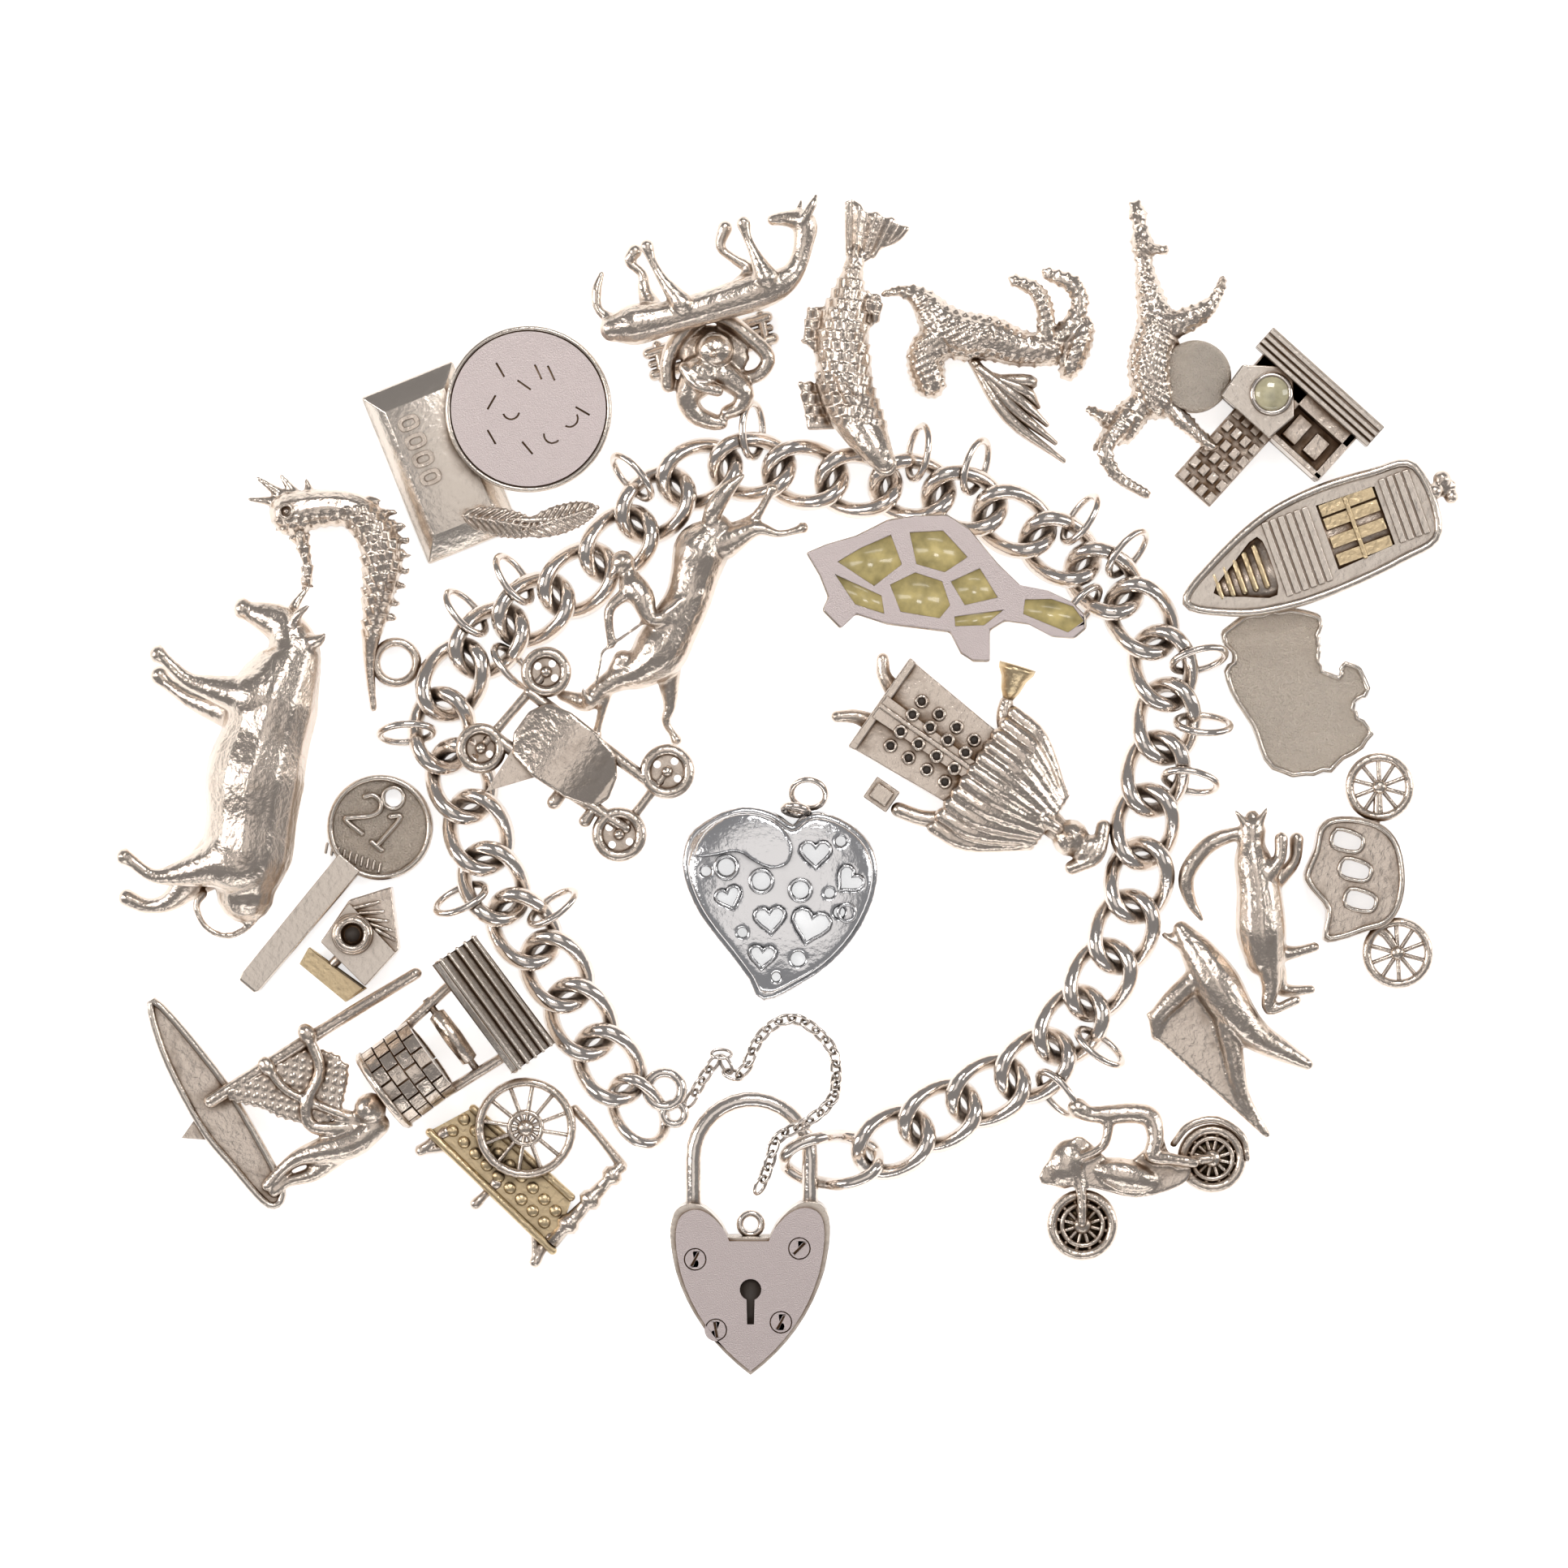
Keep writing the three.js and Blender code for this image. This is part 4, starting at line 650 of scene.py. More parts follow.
slits = []
for x, y, a in [(-2.6, 3.6, 120), (0.9, 3.4, 115), (2.1, 3.3, 115), (-0.4, 2.2, 145), (-3.4, 0.6, 60), (-0.1, -3.6, 130), (-3.4, -2.6, 120), (5.0, -0.2, 150)]:
    c, s = math.cos(math.radians(a)), math.sin(math.radians(a))
    slits.append([(x + p * c - q * s, y + p * s + q * c) for p, q in ((-0.75, -0.09), (0.75, -0.09), (0.75, 0.09), (-0.75, 0.09))])
for x, y, a in [(-1.6, -0.2, 200), (2.2, -2.4, 170), (3.8, -0.9, 240)]:
    u = np.radians(np.linspace(a, a + 150, 9))
    slits.append(np.vstack([np.stack([x + r * np.cos(w), y + r * np.sin(w)], 1) for r, w in ((0.85, u), (0.68, u[::-1]))]).tolist())
coin = stepped([(7.55, 7.55, 0), (7.7, 7.7, 0.2), (7.7, 7.7, 0.85), (7.5, 7.5, 1.05)], circle(0, 0, 1, 72))
sheet = plate(circle(0, 0, 7.15, 72), 1.0, 1.26, slits)
rim = loop(0, 0, 1.05, 7.45, 0.24, steps=72)
charm("disc", 0, [("coin", coin, SHEET), ("sheet", sheet, SATIN, 0.04), ("rim", rim, SHEET)])

# %% Leaves and gate
def veins(v, n):
    """Side veins lean forward from a raised midrib."""
    y = np.abs(v[:, 1])
    return np.where(n[:, 2] > 0, 0.22 * np.exp(-(y / 0.16) ** 2) + 0.1 * np.cos(2 * np.pi * (v[:, 0] - 1.2 * y) / 0.7), 0)


blade = melted(ball(0, 0, 0, 3.7, 1.35, 0.45, rows=12, sides=28), 0.12, 2, veins)
charm("leaf_pair", -10, [("first", shift(blade, 0, 0, 0.85), CAST), ("second", shift(blade, 5.2, 1.2, 0.85, 28), CAST),
    ("stalk", limb([(-1.6, 0.2, 0.8, 0.35), (2.4, 0.6, 0.9, 0.4), (6.2, 1.6, 0.8, 0.35)]), CAST)])
rails = limbs([[(-5.4, 1.2, 0.8, 0.55), (5.6, 4.6, 0.8, 0.55)], [(-4.8, -0.8, 0.8, 0.55), (6.2, 2.6, 0.8, 0.55)],
    [(-5.1, 0.2, 0.8, 0.35), (5.9, 3.6, 0.8, 0.35)], [(-4.6, 2.0, 0.8, 0.45), (-4.0, -1.2, 0.8, 0.45)], [(5.0, 4.8, 0.8, 0.45), (5.6, 1.8, 0.8, 0.45)]])
charm("gate", 0, [("bars", together(rails), CAST)])

# %% Horse and jockey
racer = limbs([
    [(7.6, 0.1, 3.6, 1.5), (5.4, 0.4, 3.2, 2.6), (3.0, -0.2, 3.1, 2.3), (0.6, -0.8, 3.1, 2.2), (-2.2, -0.9, 3.1, 2.4), (-4.9, -0.9, 3.1, 2.6),
     (-7.1, -0.2, 3.1, 1.9), (-8.8, 1.1, 3.1, 1.3), (-10.6, 2.1, 3.1, 0.95), (-12.2, 2.6, 3.1, 1.0), (-12.6, 3.9, 3.1, 0.7), (-12.8, 4.9, 3.1, 0.55)],
    [(6.6, -0.7, 2.4, 1.6), (9.0, -1.9, 3.4, 0.85), (10.6, -2.5, 4.6, 0.5), (12.6, -2.5, 4.8, 0.4), (13.3, -2.5, 4.8, 0.6)],
    [(6.8, -1.2, 3.8, 1.5), (9.4, -3.0, 4.6, 0.75), (10.0, -5.0, 4.8, 0.4), (11.1, -6.3, 4.8, 0.4), (11.6, -6.7, 4.8, 0.6)],
    [(-5.7, -2.3, 2.0, 1.3), (-8.6, -4.2, 1.8, 0.65), (-10.1, -4.6, 1.6, 0.45), (-10.8, -5.8, 1.4, 0.4), (-11.1, -6.3, 1.4, 0.6)],
    [(-7.2, 1.6, 3.4, 1.0), (-9.6, 1.6, 3.0, 0.7), (-11.9, 1.0, 2.8, 0.45), (-13.8, 0.5, 2.4, 0.4), (-14.4, 0.3, 2.3, 0.6)],
    [(7.0, 0.9, 4.0, 0.6), (9.0, 1.2, 4.8, 0.9), (11.0, 1.1, 5.1, 0.8), (13.0, 0.5, 5.2, 0.3)],
    [(-12.2, 2.4, 3.9, 0.4), (-11.4, 3.4, 4.4, 0.2)],
    [(-1.6, -0.6, 5.0, 0.6), (-2.6, 1.2, 5.2, 0.75), (-1.4, 2.8, 5.0, 1.2), (-0.8, 4.2, 4.6, 1.35), (0.0, 5.2, 4.6, 0.8)],
    [(-1.6, 0.2, 5.1, 0.7), (0.4, -0.6, 4.9, 0.45), (1.6, -1.6, 4.8, 0.4)],
    [(-1.8, 4.4, 5.0, 0.65), (-3.9, 4.9, 5.0, 0.5), (-6.5, 3.2, 4.6, 0.4)],
])
racer += [ball(0.6, 6.1, 4.6, 1.15), ball(-0.2, 6.3, 4.6, 1.3, 0.5, 0.9), wire([(-10.4, 2.6, 4.3), (-7.5, 3.6, 4.6), (-2.7, 1.4, 5.2)], 0.2, 8)]
charm("horse_and_jockey", 60, [("cast", melted(together(racer), 0.19, 4), CAST)])

# %% Foal and pixie
young = limbs([
    [(-8.2, -1.6, 3.4, 1.3), (-6.4, -1.7, 3.3, 2.0), (-3.8, -1.9, 3.3, 1.7), (-1.2, -1.9, 3.3, 1.6), (2.6, -1.8, 3.3, 1.7), (6.0, -1.6, 3.3, 1.8),
     (8.0, -1.3, 3.3, 1.4), (9.4, -0.5, 3.3, 1.0), (10.6, 1.3, 3.3, 0.95), (11.3, 3.5, 3.3, 1.25), (9.8, 4.3, 3.3, 0.8), (8.6, 4.5, 3.3, 0.6)],
    [(-4.2, -0.9, 2.4, 1.2), (-4.5, 1.2, 2.2, 0.7), (-4.3, 2.8, 2.2, 0.5), (-5.2, 4.2, 2.2, 0.5), (-4.4, 5.0, 2.2, 0.75)],
    [(-1.5, -1.0, 4.4, 1.1), (-2.6, 1.6, 4.4, 0.55), (-3.1, 3.6, 4.4, 0.45), (-3.2, 5.0, 4.4, 0.7)],
    [(3.6, -1.2, 2.4, 1.2), (5.4, 0.4, 2.2, 0.75), (4.2, 2.0, 2.2, 0.5), (3.3, 3.4, 2.2, 0.5), (4.2, 5.0, 2.2, 0.75)],
    [(6.6, -0.6, 4.4, 1.2), (6.2, 1.6, 4.4, 0.6), (5.9, 3.4, 4.4, 0.45), (5.9, 4.8, 4.4, 0.7)],
    [(-7.6, -1.2, 3.4, 0.7), (-9.0, 0.4, 3.2, 0.45), (-8.8, 2.2, 3.2, 0.5), (-7.9, 3.7, 3.2, 0.3)],
    [(11.2, 3.6, 4.2, 0.5), (12.4, 4.8, 4.4, 0.45), (13.0, 5.6, 4.3, 0.2)], [(10.6, 4.0, 2.6, 0.5), (11.6, 5.6, 2.4, 0.2)],
])
charm("foal", 15, [("cast", melted(together(young), 0.19, 3), CAST)])
hooded = limbs([
    [(-4.2, -2.4, 2.0, 0.7), (-4.6, 0.0, 2.4, 0.75), (-4.0, 2.2, 2.6, 0.75), (-2.1, 4.6, 2.8, 0.75), (0.2, 4.4, 2.8, 0.75), (2.4, 3.3, 2.7, 0.75),
     (4.4, 1.8, 2.4, 0.75), (4.0, 0.2, 2.2, 0.7), (2.6, -0.6, 2.0, 0.7)],
    [(-1.4, -1.0, 2.6, 2.0), (-2.2, -3.2, 2.4, 1.2), (-1.2, -4.6, 2.0, 1.0), (0.6, -5.0, 1.8, 0.8)],
    [(0.6, -0.6, 2.8, 1.3), (2.8, -1.8, 2.6, 1.0), (2.6, -3.2, 2.4, 0.8), (1.6, -3.9, 2.2, 0.7)],
    [(-3.0, -0.6, 3.4, 0.6), (-1.6, -2.0, 4.0, 0.5), (0.4, -2.2, 4.2, 0.6)],
])
hooded += [ball(-0.6, 1.3, 2.2, 3.4, 2.6, 0.9), ball(-0.5, 1.5, 3.4, 1.75, 1.7, 1.3), ball(-0.5, 1.1, 4.6, 0.32, 0.4, 0.45),
    ball(-1.2, 1.9, 4.3, 0.35, 0.25, 0.3), ball(0.2, 1.9, 4.3, 0.35, 0.25, 0.3), ball(0.8, -5.0, 1.9, 1.1, 0.7, 0.8)]
charm("pixie", -10, [("cast", melted(together(hooded), 0.17, 2), CAST)])

# %% Fish
def fish_relief(v, n):
    """Scales on the body, and rays that fan out over the tail."""
    rays = 0.16 * np.cos(34 * np.arctan2(v[:, 1] - 0.2, -(v[:, 0] + 3.0)))
    return np.where(v[:, 0] < -7.2, rays, scaled(1.0, 0.3, -6.5, 8.6)(v, n))


swimmer = limbs([
    [(-7.4, 0.2, 2.4, 0.8), (-6.0, 0.1, 2.4, 1.0), (-3.8, -0.1, 2.4, 1.6), (-0.7, -0.3, 2.6, 2.3), (2.7, -0.1, 2.6, 2.6), (6.1, 0.7, 3.0, 2.6),
     (8.8, 2.3, 4.4, 2.2), (10.8, 3.6, 5.5, 1.6), (12.0, 4.5, 5.9, 1.15)],
], 16)
swimmer += [plate([(-6.6, -0.5), (-12.2, -1.2), (-12.7, -0.6), (-11.6, 0.6), (-11.4, 1.8), (-11.0, 3.4), (-10.2, 4.9), (-9.4, 4.4), (-6.6, 1.0)], 2.0, 2.7),
    plate([(-2.6, -1.0), (-2.0, -3.8), (1.2, -4.0), (3.0, -1.4)], 2.2, 2.8), plate([(-4.2, 0.8), (-3.6, 3.0), (-1.2, 3.0), (-0.4, 1.0)], 2.2, 2.8),
    plate([(5.0, -1.4), (5.0, -4.0), (9.4, -2.8), (9.0, 0.6)], 2.0, 2.7), limb([(7.2, 1.6, 5.6, 0.4), (6.0, 0.6, 5.8, 0.5), (4.6, -0.2, 5.4, 0.3)], 8)]
skin = melted(together(swimmer), 0.16, 2, fish_relief)
charm("fish", -95, [("cast", skin, CAST), ("mouth", loop(12.2, 4.6, 6.3, 0.8, 0.3, steps=20), CAST),
    ("eye", together([loop(9.8, 2.3, 6.5, 0.45, 0.14), ball(9.8, 2.3, 6.3, 0.35)]), CAST)])

# %% Bird and drummer
flier = limbs([
    [(-10.2, 1.2, 2.4, 0.3), (-9.0, 1.9, 2.5, 0.5), (-7.6, 2.1, 2.6, 0.9), (-6.2, 1.6, 2.6, 1.4), (-4.6, 0.6, 2.6, 1.9), (-2.2, 0.0, 2.6, 2.3),
     (0.4, 0.7, 2.6, 2.1), (3.4, 0.8, 2.6, 1.7), (6.0, 1.6, 2.6, 1.5)],
    [(-4.0, -1.0, 2.4, 1.9), (-4.6, -3.0, 2.3, 1.8), (-3.4, -5.0, 2.2, 1.5)],
    [(5.8, 2.0, 2.6, 1.3), (7.0, 4.4, 2.6, 0.9), (7.1, 6.7, 2.6, 0.8), (5.8, 8.0, 2.6, 0.85), (3.4, 8.1, 2.6, 0.6)],
    [(5.2, 2.6, 3.4, 0.9), (4.4, 4.6, 3.8, 0.8), (2.8, 6.2, 4.0, 0.75), (0.7, 6.4, 4.0, 0.55)],
])
flier.append(ball(8.3, 2.6, 2.2, 1.3, 3.2, 1.6))
feathers = [limb([(-0.6 + 0.5 * i, -1.6 - 0.35 * i, 3.3 - 0.25 * abs(i - 2), 0.45), (4.4 + 0.2 * i, -5.6 + 0.95 * i, 3.2, 0.6),
                  (10.7 - 1.3 * i, -7.6 + 1.3 * i, 2.4, 0.25)], 8) for i in range(5)]
charm("bird", -20, [("cast", melted(together(flier), 0.17, 1, lumpy(0.9, 0.16)), CAST), ("wing", together(feathers), CAST)])

jester = limbs([
    [(-13.0, 1.4, 2.6, 0.6), (-12.4, 1.4, 2.6, 0.85), (-11.2, 1.3, 2.6, 0.65), (-9.6, 1.1, 2.6, 1.05), (-7.8, 0.8, 2.6, 0.8), (-6.0, 0.6, 2.6, 1.1),
     (-3.6, 0.5, 2.6, 1.5), (-1.6, 0.4, 2.6, 2.0), (1.8, -1.1, 2.6, 2.2), (4.6, -1.3, 2.6, 2.0)],
    [(-1.4, 0.2, 3.0, 1.2), (-1.6, 3.0, 3.2, 1.2), (-2.1, 5.1, 3.4, 0.9), (-3.0, 6.4, 3.4, 0.55), (-4.3, 7.3, 3.4, 0.4)],
    [(-9.8, 0.8, 3.0, 0.6), (-8.8, 2.0, 3.0, 0.5), (-8.4, 2.9, 3.0, 0.45)],
    [(3.8, -1.2, 2.6, 0.9), (7.2, 0.4, 3.4, 0.8), (10.2, 2.3, 3.8, 0.5)], [(4.6, -2.6, 2.6, 1.3), (6.3, -5.2, 2.6, 1.7)],
    [(5.6, -4.4, 3.4, 1.0), (8.0, -7.2, 4.2, 0.75), (10.6, -6.8, 4.0, 0.6), (12.9, -4.7, 3.9, 0.5)],
    [(6.6, -6.4, 3.0, 0.8), (7.6, -8.0, 2.6, 0.3)], [(5.2, -6.4, 3.0, 0.8), (4.0, -7.6, 2.6, 0.3)],
])
drum = turned([(0, 3.0), (0.02, 3.3), (0.12, 3.3), (0.14, 3.05), (0.84, 3.05), (0.86, 3.3), (0.97, 3.3), (1, 3.0)], (3.6, 2.6, 1.0), (3.6, 2.6, 4.0), 36)
charm("drummer", -75, [("cast", melted(together(jester), 0.17, 1, lumpy(0.85, 0.15)), CAST), ("drum", drum, SANDY)])

# %% Chapel and its stone
house = [brick(-4.6, 7.0, -4.8, -4.2, 0, 4.2), brick(-4.6, 7.0, -0.8, 2.0, 0, 4.2), brick(-4.6, 1.0, -4.8, 2.0, 0, 4.2), brick(6.3, 7.0, -4.8, 2.0, 0, 4.2),
    brick(-4.6, 7.0, -4.8, 2.0, 0, 1.4), brick(1.6, 3.2, -3.8, -1.2, 1.4, 3.2), brick(4.0, 5.6, -3.6, -1.4, 1.4, 2.8)]
eaves = [brick(-5.6, 8.2, 0.4 + 0.62 * i, 0.85 + 0.62 * i, 4.0, 5.3 - 0.1 * i) for i in range(4)] + [brick(-5.6, 8.2, 0.4, 2.9, 4.0, 4.8)]
gable = plate([(-5.0, -5.0), (1.0, -5.0), (1.4, -2.0), (-1.8, 1.4), (-5.4, -1.6)], 4.0, 4.7)
tower = [brick(-3.2, 1.2, -13.2, -4.4, 0.8, 2.1)] + [brick(-3.0 + 1.1 * i, -2.2 + 1.1 * i, -13.0 + 1.5 * j, -12.0 + 1.5 * j, 2.0, 2.6) for i in range(4) for j in range(6)]
charm("chapel", -42, [("walls", together(house), CAST, 0.12), ("eaves", together(eaves), SHEET, 0.1), ("gable", gable, SHEET, 0.15),
    ("tower", together(tower), CAST, 0.1), ("collet", loop(-1.6, -1.8, 4.85, 1.75, 0.25, steps=28), POLISHED)])
charm("chapel_gem", -42, [("stone", ball(-1.6, -1.8, 4.9, 1.6, 1.6, 0.6, rows=12, sides=28), STONE)])

# %% Boat
deck_line = rounded([(-14.0, -0.9), (-10.0, -3.4), (-5.7, -4.5), (-0.2, -4.8), (6.8, -4.2), (11.1, -2.9), (11.0, 3.8), (6.7, 4.7), (1.2, 5.0), (-4.2, 4.3), (-10.1, 1.9)], 5)
cockpit = [(0.8, -2.9), (6.6, -2.5), (6.6, 3.2), (0.8, 3.4)]
bow_well = rounded([(-11.0, -0.9), (-8.4, -2.2), (-5.4, -3.1), (-4.9, 0.0), (-5.4, 2.6), (-8.4, 1.0)], 3)
hull = stepped([(0.70, 0.5, 0), (0.82, 0.68, 0.9), (0.95, 0.9, 2.4), (1.0, 1.0, 3.4), (1.0, 1.0, 3.6)], deck_line)
shell_low = plate([(x * 0.985, y * 0.96) for x, y in deck_line], 3.4, 3.85, [cockpit, bow_well])
gunwale = wire([(x * 0.98, y * 0.95, 3.75) for x, y in deck_line], 0.4, 10, True)
planks = [brick(-4.6 + 0.8 * i, -4.0 + 0.8 * i, -3.6, 3.6, 3.8, 4.05) for i in range(6)] + [brick(7.1 + 0.8 * i, 7.7 + 0.8 * i, -2.6, 3.6, 3.8, 4.05) for i in range(4)]
benches = [brick(1.0, 6.4, y, y + 1.1, 3.45, 3.85) for y in (-2.6, -0.9, 0.9, 2.2)] + [brick(3.4, 3.8, -2.8, 3.2, 3.45, 4.0)]
bars = [limb([(-10.4 + 1.1 * i, -1.6 - 0.1 * i, 3.6, 0.3), (-10.4 + 1.1 * i, 0.6 + 0.3 * i, 3.6, 0.3)], 8) for i in range(5)]
motor = limbs([[(10.4, 0.6, 2.8, 0.7), (12.4, 0.7, 2.9, 0.6), (13.6, 0.8, 2.8, 0.5)]]) + [ball(12.9, 1.6, 3.0, 0.9), ball(13.2, -0.2, 2.8, 0.7), ball(11.8, 0.8, 3.4, 0.8)]
charm("boat", 20, [("hull", hull, CAST), ("deck", shell_low, SHEET, 0.06), ("gunwale", gunwale, SHEET), ("planks", together(planks), SHEET, 0.08),
    ("benches", together(benches), GILT, 0.08), ("bow", together(bars), GILT), ("motor", melted(together(motor), 0.17, 2), CAST)])

# %% Map plaque and coach
island = [(-8.6, 3.2), (-7.6, 5.6), (-4.4, 7.4), (-1.1, 8.3), (-0.2, 6.6), (0.2, 5.1), (1.3, 3.5), (2.9, 3.5), (2.9, 4.6), (4.2, 5.0), (6.1, 3.0), (5.0, 1.8),
    (5.6, 0.7), (7.7, -0.7), (6.0, -3.9), (4.0, -6.0), (0.0, -6.9), (-3.2, -3.7), (-6.9, -0.5), (-7.0, 1.8)]
coast = rounded(island, 4)
coast = [(x + 0.16 * math.sin(9 * x), y + 0.16 * math.cos(8 * y)) for x, y in coast]
charm("map_plaque", -20, [("land", plate(coast, 0.0, 1.1), SANDY, 0.12), ("shore", wire([(x * 0.96, y * 0.96, 1.05) for x, y in coast], 0.22, 8, True), SHEET)])

cabin = [(-4.4, 3.4), (-3.4, 4.6), (-1.0, 5.2), (1.4, 5.0), (3.2, 3.6), (4.5, 0.7), (4.7, -2.0), (3.9, -3.8), (2.3, -4.8), (0.2, -6.2), (-1.3, -6.6), (-1.7, -3.9), (-3.8, -2.3), (-4.6, -1.2), (-4.3, 1.3)]
cabin = rounded(cabin, 3)
panes = [rounded([(x - 1.2, y - 0.8), (x + 1.0, y - 0.8), (x + 1.5, y), (x + 1.0, y + 0.8), (x - 1.2, y + 0.8)], 3) for x, y in ((-1.6, 2.8), (-0.2, 0.4), (1.0, -2.2))]
frames = [wire([(x, y, 3.3) for x, y in pane], 0.2, 8, True) for pane in panes] + [wire([(x * 0.93, y * 0.93, 3.35) for x, y in cabin], 0.22, 8, True)]
wheels = wheel(0.1, 8.4, 2.2, 3.2, 0.42, 10) + wheel(5.7, -6.0, 2.2, 3.3, 0.42, 10)
springs = limbs([[(0.0, 4.4, 2.0, 0.6), (0.6, 5.6, 2.0, 0.45), (0.1, 7.8, 2.0, 0.4)], [(2.4, -4.0, 2.0, 0.6), (4.2, -4.6, 2.0, 0.45), (5.4, -5.6, 2.0, 0.4)]])
charm("coach", -15, [("cabin", plate(cabin, 1.0, 3.3, panes), CAST, 0.15), ("frames", together(frames), SHEET), ("wheels", together(wheels), CAST), ("springs", together(springs), CAST)])

# %% Kangaroo, swooping bird and cycle
hopper = limbs([
    [(-8.6, 0.3, 2.6, 0.7), (-7.6, 0.2, 2.6, 1.3), (-6.2, 0.0, 2.6, 1.3), (-4.6, 0.0, 2.6, 1.8), (-1.8, 0.3, 2.6, 2.1), (1.9, 0.2, 2.6, 2.4), (4.4, 0.3, 2.6, 1.9)],
    [(-7.3, -0.8, 2.6, 0.6), (-6.9, -2.8, 2.5, 0.8), (-6.0, -4.5, 2.4, 0.85), (-3.8, -6.2, 2.4, 0.8), (-1.5, -6.1, 2.2, 0.6), (0.4, -5.2, 2.2, 0.25)],
    [(-3.2, 1.2, 3.6, 0.9), (-4.6, 2.4, 3.6, 0.6), (-6.4, 2.7, 3.6, 0.65)], [(-2.6, 2.2, 2.4, 0.8), (-4.2, 3.8, 2.4, 0.6), (-6.2, 4.2, 2.4, 0.7)],
    [(3.8, 0.4, 2.2, 1.4), (6.0, 1.2, 2.0, 1.1), (7.6, 1.8, 1.8, 0.7), (7.8, 4.4, 1.6, 0.45)],
    [(3.8, 0.4, 3.2, 1.3), (7.0, 0.6, 3.2, 0.9), (9.3, 0.2, 3.2, 0.5), (8.6, 2.8, 3.2, 0.5)],
    [(4.2, 1.4, 2.4, 1.0), (4.2, 3.2, 2.2, 0.6), (3.9, 5.0, 2.0, 0.5)], [(-8.0, 0.8, 3.2, 0.5), (-9.2, 1.6, 3.4, 0.2)], [(-8.0, -0.4, 3.2, 0.5), (-9.2, -1.2, 3.4, 0.2)],
])
charm("kangaroo", -85, [("cast", melted(together(hopper), 0.18, 3), CAST)])

swoop = limbs([
    [(-8.0, 2.4, 2.2, 0.8), (-5.6, 2.4, 2.4, 1.6), (-2.0, 2.2, 2.6, 2.2), (1.4, 2.0, 2.6, 1.9), (4.0, 2.4, 2.4, 1.5), (6.6, 3.6, 2.3, 1.1), (9.0, 4.8, 2.2, 0.6)],
    [(-3.6, 1.0, 2.6, 1.0), (-3.2, -1.6, 2.6, 1.0), (-2.6, -4.0, 2.4, 0.8), (-1.2, -5.2, 2.2, 0.5)],
    [(0.6, 1.2, 2.6, 1.2), (4.4, -0.4, 2.5, 1.0), (8.0, -1.8, 2.3, 0.7), (12.2, -2.0, 2.0, 0.35)],
    [(-6.6, 1.8, 2.2, 0.8), (-8.4, 0.8, 2.0, 0.3)],
])
swoop.append(plate([(-3.4, -4.8), (-1.2, -5.4), (12.0, -2.4), (5.0, -0.4), (0.0, 2.0), (-4.0, 1.0)], 1.9, 2.6))
charm("flying_bird", -55, [("cast", melted(together(swoop), 0.2, 5), CAST)])

cowl = [(-8.5, -4.7), (-8.3, -2.4), (-6.3, 0.3), (-4.4, -0.3), (-1.8, -1.6), (0.0, 0.4), (1.3, 2.3), (2.3, 0.8), (4.6, 0.0), (4.2, -1.9), (0.4, -4.0), (-3.8, -4.0)]
cycle = [plate(rounded(cowl, 3), 1.4, 2.8), ball(-1.0, -2.2, 2.2, 3.4, 1.6, 1.5), ball(-6.6, -2.4, 2.2, 1.8, 2.4, 1.3)] + limbs([
    [(-6.8, 2.9, 3.0, 1.0), (-5.6, 2.6, 3.0, 0.8), (-3.7, 3.0, 3.0, 0.95), (-1.6, 3.6, 3.0, 1.0), (0.0, 3.5, 3.0, 1.0), (0.8, 1.8, 3.3, 0.8), (0.9, 0.2, 3.4, 0.75), (2.8, 0.3, 3.3, 0.55), (4.8, 0.4, 3.2, 0.5)],
    [(-3.9, 2.8, 3.2, 0.6), (-3.6, 1.2, 3.3, 0.5), (-3.9, -0.2, 3.2, 0.45), (-5.6, -1.6, 3.0, 0.4)],
    [(-5.6, -2.4, 2.4, 0.6), (-4.6, -5.0, 2.6, 0.5), (-4.0, -7.4, 2.6, 0.45)], [(3.4, 0.0, 2.6, 0.6), (6.2, 1.1, 2.7, 0.45)],
    [(2.6, 1.6, 2.4, 0.35), (3.6, 3.6, 2.4, 0.4), (6.0, 4.7, 2.4, 0.4), (8.6, 3.8, 2.4, 0.35), (9.6, 1.8, 2.4, 0.3)],
])
tyres = wheel(-3.9, -7.6, 2.0, 3.3, 0.5, 12, 0.9) + wheel(6.4, 1.1, 2.0, 3.2, 0.5, 12, 0.9)
tyres += [loop(-3.9, -7.6, 2.1, 1.9, 0.25, steps=28), loop(6.4, 1.1, 2.1, 1.9, 0.25, steps=28)]
webs = [turned([(0, 2.7), (1, 2.7)], (x, y, 1.4), (x, y, 1.75), 28) for x, y in ((-3.9, -7.6), (6.4, 1.1))]
charm("motorcyclist", -13, [("cast", melted(together(cycle), 0.18, 4), CAST), ("wheels", together(tyres), CAST), ("webs", together(webs), GILT)])

